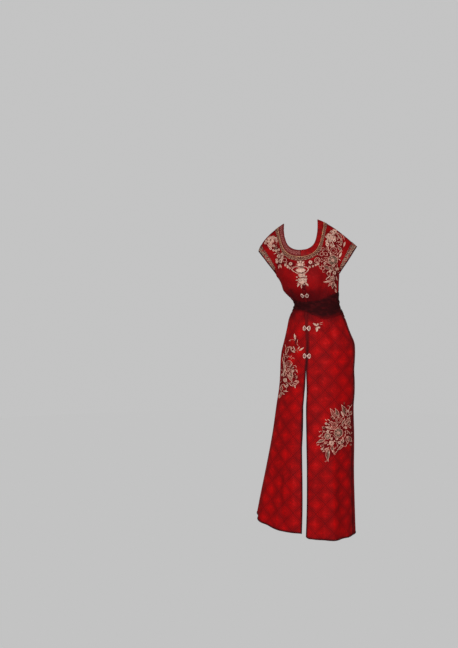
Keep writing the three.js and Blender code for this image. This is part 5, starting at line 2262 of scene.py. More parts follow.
# Leaves, feathers and wings on the fronts, each from its stem, placed by the 458 by 648 view:
# degrees from level, turned back from right to up, length, width, how far it bends, and its silk.
LEAVES = table(
    "x y angle long wide bend silk",
    # The spray on the wearer's left thigh.
    (334.5, 417.9, 109, 10.7, 3.0, 12, 0),
    (337.9, 417.5, 100, 9.9, 3.2, 14, 1),
    (344.0, 417.1, 124, 6.9, 2.4, -12, 2),
    (345.3, 415.3, 101, 11.6, 4.0, 18, 1),
    (349.6, 415.3, 76, 13.4, 4.0, -10, 1),
    (332.3, 429.2, 157, 8.0, 2.6, 10, 2),
    (325.3, 439.6, 197, 9.7, 2.8, 10, 1),
    (327.5, 441.8, 209, 4.6, 1.8, 0, 0),
    (328.4, 447.9, 214, 7.3, 2.2, 0, 0),
    (328.8, 448.7, 259, 13.2, 3.6, 16, 1),
    (332.0, 445.5, 275, 6.6, 3.0, 0, 1),
    (332.3, 450.0, 301, 5.6, 1.4, 0, 0),
    (342.7, 444.8, 228, 8.0, 2.2, -10, 0),
    (343.5, 438.5, 245, 7.0, 3.0, 0, 1),
    (348.0, 436.0, 260, 8.3, 3.0, 14, 0),
    (347.5, 436.5, 308, 7.0, 3.6, 0, 1),
    (346.5, 425.0, 45, 6.4, 2.6, 20, 1),
    (345.0, 424.5, 58, 8.8, 2.4, 0, 0),
    (341.5, 424.5, 50, 7.0, 2.2, 25, 1),
    # The spray on the wearer's right hip.
    (288.3, 347.0, 248, 8.2, 2.6, 12, 1),
    (288.9, 346.6, 334, 4.4, 1.3, 0, 0),
    (285.3, 368.0, 249, 6.0, 3.0, 0, 2),
    (283.6, 376.5, 67, 7.5, 2.6, 12, 1),
    (289.5, 379.5, 65, 9.0, 3.0, 14, 1),
    (288.6, 375.0, 300, 8.4, 2.6, -12, 1),
    (283.0, 378.5, 324, 5.2, 2.6, 0, 2),
    (283.3, 383.6, 308, 6.0, 1.6, 0, 2),
    (291.1, 385.6, 16, 8.1, 2.0, 16, 0),
    (294.6, 384.6, 281, 4.0, 1.4, 0, 2),
    (295.6, 380.3, 332, 4.2, 1.4, 0, 0),
    (281.6, 386.0, 266, 5.6, 2.8, 0, 1),
    (283.0, 391.0, 351, 5.0, 1.5, 8, 2),
    (281.0, 392.4, 331, 4.1, 1.4, 0, 0),
    (280.8, 393.0, 259, 4.7, 1.6, 0, 1),
    (284.2, 356.6, 260, 6.0, 2.4, 10, 1),
    (289.4, 368.2, 58, 6.1, 1.5, 0, 2),
    (286.6, 372.0, 43, 5.2, 2.0, 0, 0),
    # Beside the neck on the wearer's right.
    (279.4, 264.3, 261, 4.6, 1.6, 0, 2),
    (280.3, 264.8, 292, 3.4, 1.2, 0, 0),
    # The wearer's left shoulder, and the trail below it.
    (337.2, 233.0, 308, 10.0, 2.6, -16, 1),
    (345.2, 241.8, 253, 5.4, 2.2, 0, 2),
    (341.5, 238.6, 263, 7.0, 2.0, 10, 1),
    (338.0, 246.5, 310, 6.5, 2.6, 0, 1),
    (341.6, 252.2, 247, 5.9, 2.2, 0, 2),
    (332.0, 241.0, 292, 3.8, 1.3, 0, 2),
    (329.6, 252.0, 293, 5.0, 1.5, 0, 2),
    (323.6, 265.6, 330, 7.5, 3.4, 0, 1),
    (329.0, 266.4, 314, 6.6, 2.6, 0, 1),
    (333.6, 266.2, 306, 6.4, 2.0, 0, 2),
    (330.6, 275.4, 219, 4.4, 1.5, 0, 2),
    (330.8, 281.0, 191, 7.6, 1.8, -8, 2),
    (331.4, 282.6, 229, 4.8, 1.6, 0, 0),
    (333.4, 281.6, 261, 7.4, 2.6, 0, 1),
    (334.6, 283.0, 291, 6.0, 2.0, 0, 2),
    (335.0, 288.8, 290, 4.5, 1.3, 0, 0),
    (336.0, 276.0, 286, 5.0, 1.6, 0, 2),
    # A butterfly by the middle clasp, and a swallow and a small bird over the hip spray.
    (317.2, 326.2, 143, 5.2, 2.3, 0, 2),
    (317.6, 325.8, 84, 2.8, 1.7, 0, 2),
    (317.3, 326.4, 262, 5.6, 2.8, 0, 2),
    (317.6, 326.8, 336, 2.8, 2.3, 0, 2),
    (317.9, 326.2, 52, 2.6, 0.9, 0, 4),
    (295.2, 340.0, 98, 6.6, 2.6, 0, 2),
    (295.2, 340.6, 179, 6.4, 2.0, 0, 2),
    (297.0, 338.0, 251, 6.6, 1.5, 0, 4),
    (296.2, 349.2, 300, 4.0, 2.0, 0, 3),
    (295.6, 350.6, 175, 2.6, 1.5, 0, 1),
    (298.8, 350.8, 33, 6.2, 1.7, 0, 2),
    (297.8, 349.6, 62, 3.8, 1.4, 0, 2),
    (295.0, 349.8, 118, 4.0, 1.4, 0, 2),
    (295.2, 352.6, 153, 4.6, 1.4, 0, 2),
)

# Blossoms: middle, radius, number of petals (none leaves a ring), the petals' silk and the eye's.
BLOOMS = table(
    "x y radius petals silk eye",
    (338.4, 432.7, 4.4, 7, 1, 2),
    (334.0, 425.3, 2.8, 0, 0, 1),
    (338.4, 420.4, 2.6, 0, 0, 0),
    (343.1, 418.8, 1.5, 0, 0, 0),
    (327.5, 436.2, 3.0, 6, 1, 2),
    (331.4, 443.1, 2.3, 5, 2, 1),
    (345.9, 427.8, 1.4, 4, 2, 0),
    (289.0, 363.6, 3.0, 0, 0, 1),
    (284.6, 366.3, 1.6, 4, 2, 0),
    (290.6, 376.5, 2.5, 5, 1, 2),
    (285.2, 380.2, 2.1, 5, 2, 1),
    (270.6, 240.0, 3.7, 6, 2, 1),
    (270.0, 245.3, 2.2, 5, 2, 1),
    (273.4, 237.2, 1.5, 4, 2, 0),
    (275.8, 248.4, 1.5, 4, 1, 0),
    (273.4, 250.3, 1.2, 4, 2, 0),
    (278.8, 256.2, 2.1, 5, 2, 1),
    (280.4, 261.0, 2.1, 5, 2, 1),
    (284.7, 260.0, 1.9, 0, 0, 0),
    (285.4, 265.0, 1.2, 4, 2, 0),
    (287.9, 266.8, 1.5, 4, 2, 0),
    (290.6, 263.8, 1.8, 5, 2, 0),
    (290.0, 268.2, 1.0, 4, 2, 0),
    (310.4, 262.2, 2.0, 5, 2, 0),
    (309.7, 267.0, 1.1, 4, 2, 0),
    (312.8, 266.2, 1.1, 4, 2, 0),
    (315.8, 265.0, 1.1, 4, 2, 0),
    (317.3, 260.3, 2.7, 0, 0, 0),
    (324.6, 263.4, 1.2, 4, 2, 0),
    (327.4, 244.4, 2.0, 5, 2, 0),
    (329.3, 235.9, 2.6, 5, 2, 1),
    (334.4, 231.6, 2.4, 5, 2, 1),
    (333.6, 238.0, 2.2, 5, 2, 1),
    (322.9, 248.9, 1.4, 0, 0, 0),
    (327.1, 248.8, 1.3, 0, 0, 0),
    (333.3, 250.6, 3.5, 0, 0, 0),
    (321.6, 254.3, 1.7, 0, 0, 0),
    (325.6, 254.0, 1.6, 0, 0, 0),
    (332.8, 260.2, 5.0, 8, 1, 2),
    (322.7, 268.2, 1.9, 0, 0, 0),
    (328.6, 273.6, 1.8, 0, 0, 0),
    (334.4, 272.9, 1.8, 5, 2, 0),
    (332.3, 278.6, 2.2, 5, 1, 2),
)

# Curled threads: start, heading, length and how far they turn.
CURLS = table(
    "x y angle long turn",
    (327.5, 432.3, 150, 9, 170),
    (345.7, 430.1, 275, 15, -100),
    (333.0, 435.0, 300, 9, 100),
    (347.2, 430.3, 318, 5, -25),
    (347.0, 426.2, 332, 5, 15),
    (328.6, 424.4, 85, 7, -150),
    (346.5, 418.2, 20, 5, -110),
    (336.4, 428.8, 60, 6, -120),
    (340.6, 441.2, 200, 8, -60),
    (283.2, 357.0, 20, 6, -60),
    (288.1, 355.5, 300, 6, 170),
    (284.2, 366.2, 320, 7, 40),
    (292.4, 367.0, 60, 7, -200),
    (294.5, 369.2, 340, 6, -80),
    (288.0, 372.6, 90, 7, -190),
    (283.0, 373.6, 40, 5, -120),
    (286.5, 383.0, 10, 6, -110),
    (286.8, 358.2, 60, 6, -150),
    (291.4, 359.4, 80, 5, -200),
    (266.2, 243.4, 300, 7, 80),
    (275.9, 250.0, 290, 6, 30),
    (281.6, 258.0, 30, 4, 60),
    (321.0, 262.6, 60, 9, -190),
    (324.0, 257.6, 20, 7, -130),
    (336.6, 255.6, 330, 6, -150),
    (337.0, 263.6, 280, 6, -40),
    (326.8, 258.8, 250, 7, 120),
    (341.2, 233.6, 315, 8, -50),
    (329.6, 246.4, 330, 6, 150),
    (319.6, 323.4, 25, 3.6, -10),
    (319.8, 324.8, 12, 3.0, 20),
    (297.9, 339.2, 257, 4.8, 5),
    (296.7, 343.6, 305, 3.0, 0),
)

# The pendant's raised grounds, from its crown down: height in the view, and both edges.
PENDANT_GROUNDS = (
    table(
        "y left right",
        (263.2, 299.9, 301.3),
        (264.4, 297.4, 303.6),
        (265.4, 297.2, 303.8),
        (266.2, 298.6, 302.4),
    ),
    table(
        "y left right",
        (268.2, 298.8, 302.6),
        (269.0, 296.6, 304.8),
        (270.0, 295.4, 305.8),
        (271.2, 296.2, 305.0),
        (272.2, 298.0, 303.2),
        (272.9, 299.8, 301.8),
    ),
    table(
        "y left right",
        (273.5, 300.0, 303.2),
        (274.6, 298.5, 305.0),
        (276.2, 298.2, 305.5),
        (277.3, 299.6, 304.8),
    ),
    table(
        "y left right",
        (277.9, 300.2, 305.6),
        (278.8, 297.8, 307.2),
        (280.4, 298.3, 306.7),
        (282.0, 297.9, 306.6),
        (283.0, 299.0, 305.4),
        (283.7, 300.8, 304.2),
    ),
)

# Petals of the pendant, from their stems.
PENDANT_PETALS = table(
    "x y angle long wide",
    (299.4, 263.8, 130, 3.6, 2.0),
    (300.6, 263.2, 90, 3.0, 1.8),
    (301.8, 263.8, 50, 3.6, 2.0),
    (299.2, 283.0, 246, 4.6, 2.0),
    (301.6, 284.0, 268, 4.6, 1.9),
    (304.0, 284.0, 284, 4.4, 1.9),
    (305.6, 282.8, 312, 4.2, 1.9),
    (298.6, 279.6, 198, 3.2, 1.5),
    (305.6, 277.6, 60, 2.4, 1.6),
    (297.6, 277.8, 140, 2.0, 1.4),
)

# The pendant's couched outlines, its dark threads standing for shade between the cream parts: silk,
# thickness, whether it closes, and its corners in the view.
PENDANT_LINES = (
    (
        Silk.CREAM, 1.4, True,
        (291.8, 269.6), (295.2, 266.9), (298.2, 267.0), (300.5, 268.0), (302.8, 267.0), (305.8, 266.9),
        (308.4, 269.6), (305.9, 272.6), (304.0, 274.4), (301.5, 276.9), (299.0, 274.6), (296.4, 272.9),
        (293.8, 271.4),
    ),
    (
        Silk.CREAM, 1.1, False,
        (296.8, 272.2), (299.4, 273.2), (301.4, 274.7), (303.4, 273.2), (305.4, 272.0),
    ),
    (
        Silk.CREAM, 1.0, False,
        (296.2, 265.4), (298.2, 262.2), (300.6, 260.9), (303.0, 262.2), (304.8, 265.4),
    ),
    (
        Silk.CREAM, 1.0, False,
        (298.2, 278.0), (300.6, 279.6), (303.0, 278.4), (305.6, 279.8), (307.2, 278.2),
    ),
    (
        Silk.CREAM, 1.0, False,
        (297.2, 282.6), (299.6, 284.8), (301.6, 283.4), (303.8, 284.9), (306.4, 282.8),
    ),
    (
        Silk.DARK, 0.7, False,
        (296.2, 266.2), (298.6, 266.2), (300.5, 266.9), (302.6, 266.2), (305.0, 266.2),
    ),
    (
        Silk.DARK, 0.7, False,
        (294.4, 269.8), (296.6, 271.6), (299.2, 272.2), (301.4, 273.4), (303.6, 272.2), (306.4, 270.6),
    ),
    (
        Silk.DARK, 0.7, False,
        (298.2, 275.2), (300.2, 276.3), (302.2, 275.5), (304.0, 276.3), (305.4, 275.4),
    ),
    (
        Silk.DARK, 0.7, False,
        (297.9, 277.7), (300.2, 278.5), (302.6, 277.7), (305.0, 278.5), (306.8, 277.8),
    ),
    (
        Silk.DARK, 0.8, False,
        (297.6, 279.4), (300.6, 281.0), (303.0, 279.8), (305.6, 281.2), (307.4, 279.8),
    ),
    (
        Silk.DARK, 0.7, False,
        (298.4, 284.4), (300.8, 286.2), (303.2, 285.4), (305.8, 286.0),
    ),
)

# Where small work fills in between the large motifs: its spacing, the place that it grows from, its
# shares of leaves and of blossoms, and the corners of the region, all by the view.
REGIONS = (
    (
        2.6, 270.6, 245.6, 0.1, 0.7,
        (265.1, 243.2), (267.8, 237.6), (272.6, 234.6), (276.6, 237.6), (277.0, 243.0), (275.9, 249.2),
        (272.0, 250.6), (267.4, 247.0),
    ),
    (
        2.7, 300.0, 232.0, 0.25, 0.4,
        (276.8, 243.0), (280.8, 252.0), (287.4, 259.0), (294.8, 263.4), (293.6, 267.8), (286.5, 265.2),
        (281.5, 264.0), (277.9, 266.8), (275.8, 262.0), (277.8, 256.5), (274.6, 249.6),
    ),
    (
        2.7, 298.0, 246.0, 0.25, 0.4,
        (306.2, 264.5), (311.3, 261.0), (318.2, 256.4), (319.5, 263.6), (313.5, 266.4), (308.0, 268.4),
    ),
    (
        2.6, 331.0, 240.0, 0.15, 0.65,
        (326.2, 232.0), (331.4, 229.6), (336.6, 232.2), (336.2, 241.5), (333.0, 245.4), (327.5, 243.7),
        (325.4, 238.0),
    ),
    (
        3.0, 332.0, 259.0, 0.4, 0.12,
        (336.8, 232.4), (341.6, 238.2), (345.2, 245.0), (341.8, 251.0), (339.0, 262.0), (337.8, 270.5),
        (336.6, 289.6), (332.7, 289.8), (328.4, 281.2), (325.2, 273.0), (318.6, 266.6), (317.6, 259.7),
        (317.6, 253.5), (322.6, 246.4), (327.5, 243.7), (333.0, 245.4), (336.2, 241.5),
    ),
    (
        2.9, 282.0, 379.0, 0.4, 0.08,
        (285.0, 347.2), (290.8, 346.0), (296.7, 351.8), (288.5, 354.2), (288.5, 360.0), (293.2, 365.8),
        (296.7, 371.7), (298.4, 381.0), (296.7, 388.0), (289.7, 385.7), (287.3, 390.3), (285.0, 393.8),
        (278.8, 397.3), (280.0, 388.0), (281.1, 375.2), (282.3, 363.5), (283.1, 355.3),
    ),
    (
        3.0, 341.0, 434.0, 0.5, 0.08,
        (331.7, 407.8), (336.3, 409.0), (338.7, 413.7), (343.3, 409.0), (343.3, 404.3), (346.8, 405.5),
        (352.6, 402.8), (352.9, 439.9), (351.0, 444.6), (343.3, 446.0), (335.2, 454.5), (325.8, 461.8),
        (322.9, 453.3), (320.0, 444.6), (313.6, 444.2), (319.6, 439.3), (321.6, 432.0), (325.1, 424.0),
        (329.8, 418.0),
    ),
)


def is_inside(corners: list[tuple[float, float]], x: float, y: float) -> bool:
    """Whether a place lies within a ring of corners.

    Args:
        corners: the ring.
        x: the place, across.
        y: and down.

    Returns:
        Whether it does.
    """
    is_in = False
    for (x0, y0), (x1, y1) in zip(corners, [*corners[1:], corners[0]]):
        if (y0 > y) != (y1 > y) and x < x0 + (x1 - x0) * (y - y0) / (y1 - y0):
            is_in = not is_in
    return is_in


@dataclass
class Needlework:
    """Silk embroidery on the fronts, placed by the view, with painted shade on the cloth under it."""

    surfaces: dict[Side, RobeSurface]
    studio: Studio
    silks: dict[Silk, bpy.types.Material]
    thread: float = 2.1
    sunk: float = 0.35
    padding: float = 1.0
    to_size: float = 4.15
    usual: float = 0.95
    small_leaf: float = 7
    # Blossoms from this radius on have outlined petals, and rings from the next on a second ring.
    large: float = 2.1
    double: float = 2.4
    petal_reach: tuple[float, float] = (0.22, 0.96)
    # The eye's size: its share of the radius, the most that it is, and how it is made a bead's.
    eye: tuple[float, float, float] = (0.42, 2.4, 0.55)
    petal_rise: float = 1.5
    leaf_cuts: int = 10
    curl_cuts: int = 13
    ground_wide: int = 11
    ground_tall: int = 9
    row_pitch: float = 0.87
    scatter: float = 0.3
    # Small work between the motifs: how far apart, degrees astray, and the least and most of each size.
    apart: float = 0.4
    astray: float = 45
    leaf_long: tuple[float, float] = (2.4, 3.8)
    leaf_wide: tuple[float, float] = (0.8, 1.15)
    bloom_radius: tuple[float, float] = (1.15, 1.5)
    curl_long: tuple[float, float] = (3.0, 4.6)
    curl_turn: tuple[float, float] = (120, 220)
    seed: int = 11
    threads: dict = field(default_factory=dict)
    petals: dict = field(default_factory=dict)

    def __post_init__(self) -> None:
        """Prepares both fronts to be found by a line of sight."""
        self.fronts = {}
        for side, surface in self.surfaces.items():
            quads = surface.quads[surface.quad_column < CUT.ridge]
            points = (surface.points * MM).tolist()
            self.fronts[side] = (BVHTree.FromPolygons(points, quads.tolist()), quads)
        self.laid = thread_tree()
        shape = bpy.data.meshes.new("petal_shape")
        points, faces = petal_form()
        shape.from_pydata(points, [], faces)
        shape.shade_smooth()
        self.shape = bpy.data.objects.new("petal_shape", shape)
        self.sewn = scatter_tree("satin_petals", True)
        self.strung = scatter_tree("seed_beads", False)

    def spot(self, x: float, y: float) -> tuple[Side, np.ndarray, np.ndarray] | None:
        """Finds the cloth that a point of the view falls on.

        Args:
            x: across the view.
            y: down the view.

        Returns:
            The half, the point in millimetres and the outward direction there, or nothing.
        """
        eye, way = Vector(self.studio.eye), self.studio.sight(x, y)
        found = []
        for side, (tree, quads) in self.fronts.items():
            point, _, index, far = tree.ray_cast(eye, way)
            if index is not None:
                found.append((far, side, point, quads[index]))
        if not found:
            return None
        _, side, point, quad = min(found, key=lambda item: item[0])
        return side, np.array(point) / MM, unit(self.surfaces[side].normals[quad].mean(0))

    def sew(self, silk: Silk, places: np.ndarray, thick: float = 1.0, is_tapered: bool = True) -> None:
        """Lays one thread over places of the view, parted where the fronts part.

        Args:
            silk: which thread.
            places: the view's points along it.
            thick: its thickness, 1 for the usual one.
            is_tapered: whether it thins at both ends.
        """
        run, last = [], None
        share = np.linspace(0, 1, len(places))
        width = thick * (0.45 + 0.55 * np.sin(np.pi * share) ** 0.5 if is_tapered else np.ones(len(places)))
        for place, size in [*zip(places, width), (None, 0)]:
            found = None if place is None else self.spot(*place)
            side = found[0] if found else None
            if side is not last and len(run) > 1:
                self.threads.setdefault((last, silk), []).append(run)
            if side is not last:
                run = []
            if found:
                run.append((found[1] + found[2] * self._bed(*place), size))
            last = side

    def _bed(self, x: float, y: float) -> float:
        """How high a thread's middle lies: on the cloth, or on one of the pendant's raised grounds.

        Args:
            x: across the view.
            y: down the view.

        Returns:
            Millimetres above the cloth.
        """
        for rows in PENDANT_GROUNDS:
            left, right = (np.interp(y, rows["y"], rows[name]) for name in ("left", "right"))
            if rows["y"][0] < y < rows["y"][-1] and left < x < right:
                return self.sunk + self.padding
        return self.sunk

    def fill(self, silk: Silk, places: np.ndarray, wide: float) -> None:
        """Lays one satin-stitched petal.

        Args:
            silk: which thread.
            places: the view's points along its middle.
            wide: its width in the view.
        """
        ends = [self.spot(*places[0]), self.spot(*places[-1])]
        if not all(ends) or ends[0][0] is not ends[1][0]:
            return
        side, base, normal = ends[0]
        aim = ends[1][1] - base
        size = (np.linalg.norm(aim), wide * self.to_size, self.petal_rise)
        out = unit(normal + ends[1][2])
        self.petals.setdefault((side, silk), []).append((base + out * 0.1, aim, out, size))

    def leaf(
        self, x: float, y: float, angle: float, long: float, wide: float, bend: float, silk: float
    ) -> None:
        """Works one leaf: a pointed outline, and a filling or else a vein.

        Args:
            x: its stem, across the view.
            y: and down it.
            angle: its heading, in degrees.
            long: its length.
            wide: its width.
            bend: degrees that it bends.
            silk: its silk's number.
        """
        t = np.linspace(0, 1, self.leaf_cuts)
        heading = np.radians(angle + bend * (2 * t - 0.6))
        step = long / (len(t) - 1)
        spine = np.cumsum(np.stack([np.cos(heading), -np.sin(heading)], 1) * step, 0)
        spine = spine - spine[0] + (x, y)
        beside = np.stack([np.sin(heading), np.cos(heading)], 1)
        swell = (wide / 2 * np.sin(np.pi * np.clip(t * 1.08, 0, 1) ** 0.85))[:, None]
        kind = Silk(int(silk))
        if kind in (Silk.ORANGE, Silk.DARK) or (kind is Silk.CREAM and long < self.small_leaf):
            self.fill(kind, spine, wide)
            if kind is Silk.CREAM and wide > 1.5:
                self.sew(Silk.LINE, np.concatenate([spine[:1], (spine + beside * swell)[2:]]), 0.55)
            return
        outline = np.concatenate([spine + beside * swell, (spine - beside * swell)[::-1]])
        self.sew(Silk.LINE, outline, 1.0, False)
        if kind is Silk.LINE:
            self.sew(Silk.LINE, spine[1:7], 0.6)
        else:
            self.fill(kind, spine[1:9], wide * 0.6)

    def bloom(self, x: float, y: float, radius: float, petals: float, silk: float, eye: float) -> None:
        """Works one blossom: a ring, or its petals and their outlines, and the beads of its eye.

        Args:
            x: its middle, across the view.
            y: and down it.
            radius: its radius.
            petals: how many it has; none leaves a ring.
            silk: the petals' silk.
            eye: the silk of its beads; 0 leaves them out.
        """
        count = int(petals)
        turn = np.linspace(0, math.tau, 25 if radius > 2 and not count else 13)
        ring = np.stack([np.cos(turn), np.sin(turn)], 1) * radius + (x, y)
        if not count:
            self.sew(Silk.LINE, ring, self.usual, False)
        if not count and radius > self.double:
            self.sew(Silk.LINE, (ring - (x, y)) * 0.55 + (x, y), 0.6, False)
        inner, outer = self.petal_reach
        for k in range(count):
            angle = math.tau * (k + 0.5) / count
            way = np.array([math.cos(angle), math.sin(angle)])
            ends = np.array([way * radius * inner, way * radius * outer]) + (x, y)
            wide = radius * 2.3 * math.sin(math.pi / count) ** 0.8
            self.fill(Silk(int(silk)), ends, wide * (0.75 if radius > self.large else 1))
            if radius > self.large:
                petal = np.outer(0.62 - 0.4 * np.cos(turn), way) * radius
                petal += np.outer(np.sin(turn) * wide / 2, (-way[1], way[0]))
                self.sew(Silk.LINE, petal + (x, y), 0.75, False)
        found = self.spot(x, y) if eye else None
        if found:
            self._eye(found, radius, Silk(int(eye)))

    def _eye(self, place: tuple[Side, np.ndarray, np.ndarray], radius: float, silk: Silk) -> None:
        """Sets a blossom's bead, and six round it in a large one.

        Args:
            place: the half, the point and the outward direction of its middle.
            radius: the blossom's radius in the view.
            silk: the beads' silk.
        """
        side, point, out = place
        share, most, to_bead = self.eye
        size = min(most, radius * share) * self.to_size * to_bead
        across = unit(np.cross(out, (0.0, 0.0, 1.0)))
        ring = 6
        for k in range(0 if radius > 1.8 else ring, ring + 1):
            off = 0 if k == ring else size * 0.75
            angle = math.tau * k / ring
            way = math.cos(angle) * across + math.sin(angle) * np.cross(across, out)
            entry = (point + way * off + out * 1.0, across, out, np.full(3, max(size * 0.78, 2.2)))
            self.petals.setdefault((side, f"eye_{silk.name.lower()}"), []).append(entry)

    def curl(self, x: float, y: float, angle: float, long: float, turn: float) -> None:
        """Works one curled thread that tightens towards its end.

        Args:
            x: its start, across the view.
            y: and down it.
            angle: its heading, in degrees.
            long: its length.
            turn: degrees that it turns.
        """
        t = np.linspace(0, 1, self.curl_cuts)
        heading = np.radians(angle + turn * t**1.3)
        step = long * 1.35 / len(t) * (1 - 0.5 * t)
        way = np.cumsum(np.stack([np.cos(heading), -np.sin(heading)], 1) * step[:, None], 0)
        self.sew(Silk.LINE, way - way[0] + (x, y), self.usual)

    def between(self) -> None:
        """Works small leaves, blossoms and curls between the large motifs of every region."""
        chance = random.Random(self.seed)
        taken = list(zip(BLOOMS["x"], BLOOMS["y"], BLOOMS["radius"]))
        for x, y, angle, long in zip(*(LEAVES[key] for key in ("x", "y", "angle", "long"))):
            way = math.radians(angle)
            taken.append((x + math.cos(way) * long / 2, y - math.sin(way) * long / 2, long * 0.28))
        for pitch, x0, y0, leafy, flowery, *corners in REGIONS:
            xs, ys = zip(*corners)
            rows = int((max(ys) - min(ys)) / pitch / self.row_pitch) + 1
            places = int((max(xs) - min(xs)) / pitch) + 1
            for i, j in np.ndindex(rows, places):
                x = min(xs) + (j + i % 2 / 2 + chance.uniform(-self.scatter, self.scatter)) * pitch
                y = min(ys) + (i * self.row_pitch + chance.uniform(-self.scatter, self.scatter)) * pitch
                kind, turn = chance.random(), chance.choice((-1, 1))
                astray = chance.uniform(-self.astray, self.astray)
                angle = math.degrees(math.atan2(y0 - y, x - x0)) + astray
                is_taken = any(math.hypot(x - a, y - b) < r + self.apart for a, b, r in taken)
                if is_taken or not is_inside(corners, x, y):
                    continue
                if kind < leafy:
                    silk = chance.choice((Silk.LINE, Silk.LINE, Silk.CREAM, Silk.SAGE))
                    way, long = math.radians(angle + turn * 15), chance.uniform(*self.leaf_long)
                    tip = (x + math.cos(way) * long, y - math.sin(way) * long)
                    self.fill(silk, np.array([(x, y), tip]), chance.uniform(*self.leaf_wide))
                elif kind < leafy + flowery:
                    radius = chance.uniform(*self.bloom_radius)
                    self.bloom(x, y, radius, 5, Silk.CREAM.value, Silk.DARK.value)
                else:
                    long = chance.uniform(*self.curl_long)
                    self.curl(x, y, angle, long, turn * chance.uniform(*self.curl_turn))

    def build(self) -> list[bpy.types.Object]:
        """Works every leaf, blossom and curl, and gathers them by half and silk.

        Returns:
            The pieces.
        """
        for motifs, work in ((LEAVES, self.leaf), (BLOOMS, self.bloom), (CURLS, self.curl)):
            for row in zip(*motifs.values()):
                work(*map(float, row))
        self.between()
        made = []
        for (side, silk), runs in self.threads.items():
            made.append(self._threads(f"threads_{side.value}_{silk.name.lower()}", runs, silk))
        for (side, silk), rows in self.petals.items():
            is_eye = isinstance(silk, str)
            kind = Silk[silk.removeprefix("eye_").upper()] if is_eye else silk
            work = "beads" if is_eye else "petals"
            made.append(self._spread(f"{work}_{side.value}_{kind.name.lower()}", rows, kind, is_eye))
        self.threads, self.petals = {}, {}
        return made

    def _threads(self, name: str, runs: list, silk: Silk) -> bpy.types.Object:
        """Makes one mesh of all the threads given.

        Args:
            name: the piece's name.
            runs: the points and thicknesses of each thread.
            silk: which thread.

        Returns:
            The piece.
        """
        points, thick, edges = [], [], []
        for run in runs:
            edges += [(len(points) + i, len(points) + i + 1) for i in range(len(run) - 1)]
            points += [point for point, _ in run]
            thick += [size for _, size in run]
        inputs = {"Thickness": self.thread * MM, "Sides": 6, "Material": self.silks[silk]}
        return grow(name, self.laid, np.array(points), edges, {"thick": np.array(thick)}, inputs)

    def _spread(self, name: str, rows: list, silk: Silk, is_bead: bool) -> bpy.types.Object:
        """Makes one mesh of all the petals or beads given.

        Args:
            name: the piece's name.
            rows: the place, aim, outward direction and size of each.
            silk: which thread.
            is_bead: whether they are beads.

        Returns:
            The piece.
        """
        base, aim, out, size = (np.array([row[i] for row in rows]) for i in range(4))
        values = {"aim": unit(aim), "out": out, "size": size * MM}
        inputs = {"Size": 1.0, "Shape": self.shape, "Material": self.silks[silk]}
        return grow(name, self.strung if is_bead else self.sewn, base, [], values, inputs)

    def pendant(self) -> list[bpy.types.Object]:
        """Works the pendant under the neck, a half on each front, in place of its plain forms.

        Returns:
            The pieces.
        """
        grounds = {side: ([], []) for side in Side}
        for rows in PENDANT_GROUNDS:
            self._ground(rows, grounds)
        for row in zip(*PENDANT_PETALS.values()):
            x, y, angle, long, wide = map(float, row)
            way = np.array([math.cos(math.radians(angle)), -math.sin(math.radians(angle))])
            self.fill(Silk.CREAM, np.array([(x, y), (x, y) + way * long]), wide)
        for silk, thick, is_closed, *corners in PENDANT_LINES:
            line = np.array([*corners, *corners[: 2 if is_closed else 0]])[:, None]
            self.sew(silk, spline(line, np.linspace(0, len(line) - 1, len(line) * 5))[:, 0], thick, False)
        made = []
        for side in Side:
            points, faces = grounds[side]
            name = f"pendant_{side.value}"
            parts = [mesh_piece(name + "_satin", np.array(points), faces, [self.silks[Silk.CREAM]])]
            for silk in (Silk.CREAM, Silk.DARK):
                couching = f"{name}_couching_{silk.name.lower()}"
                parts.append(self._threads(couching, self.threads[side, silk], silk))
            parts.append(self._spread(name + "_petals", self.petals[side, Silk.CREAM], Silk.CREAM, False))
            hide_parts(name)
            made += parts
        self.threads, self.petals = {}, {}
        return made

    def _ground(self, rows: Columns, grounds: dict[Side, tuple[list, list]]) -> None:
        """Raises one padded ground between two edges of the view, closed on each half.

        Args:
            rows: its edges by height.
            grounds: the points and faces of each half so far.
        """
        wide = self.ground_wide
        heights = np.linspace(rows["y"][0], rows["y"][-1], self.ground_tall)
        for side in Side:
            points, faces = grounds[side]
            low, high, spans = [], [], []
            for y in heights:
                edges = [np.interp(y, rows["y"], rows[name]) for name in ("left", "right")]
                edges[1 if side is Side.RIGHT else 0] = self._parting(*edges, y, side)
                if edges[1] - edges[0] > 0.2:
                    spans.append((y, edges))
            tall = len(spans)
            for i, (y, edges) in enumerate(spans):
                for j, x in enumerate(np.linspace(*edges, wide)):
                    _, point, out = self.spot(x, y)
                    rim = min(i, tall - 1 - i, j, wide - 1 - j)
                    low.append(point + out * 0.05)
                    high.append(point + out * (0.5 + (self.padding - 0.1) * (1 - math.exp(-rim / 1.2))))
            base, n = len(points), len(low)
            ids = np.arange(n).reshape(tall, wide)
            corners = (ids[:-1, :-1], ids[1:, :-1], ids[1:, 1:], ids[:-1, 1:])
            cells = np.stack(corners, 2).reshape(-1, 4).tolist()
            pairs = [(c[k], c[(k + 1) % 4]) for c in cells for k in range(4)]
            known = set(pairs)
            rim = [(a, b) for a, b in pairs if (b, a) not in known]
            faces += [[base + n + v for v in c] for c in cells]
            faces += [[base + v for v in c[::-1]] for c in cells]
            faces += [[base + a, base + b, base + n + b, base + n + a] for a, b in rim]
            points += low + high

    def _parting(self, left: float, right: float, y: float, side: Side) -> float:
        """Where one half's front ends between two edges of the view.

        Args:
            left: the left edge.
            right: the right edge.
            y: how far down.
            side: which half.

        Returns:
            How far across.
        """
        low, high = left, right
        for _ in range(12):
            middle = (low + high) / 2
            found = self.spot(middle, y)
            is_own = found is not None and found[0] is side
            low, high = (middle, high) if is_own is (side is Side.RIGHT) else (low, middle)
        return low if side is Side.RIGHT else high

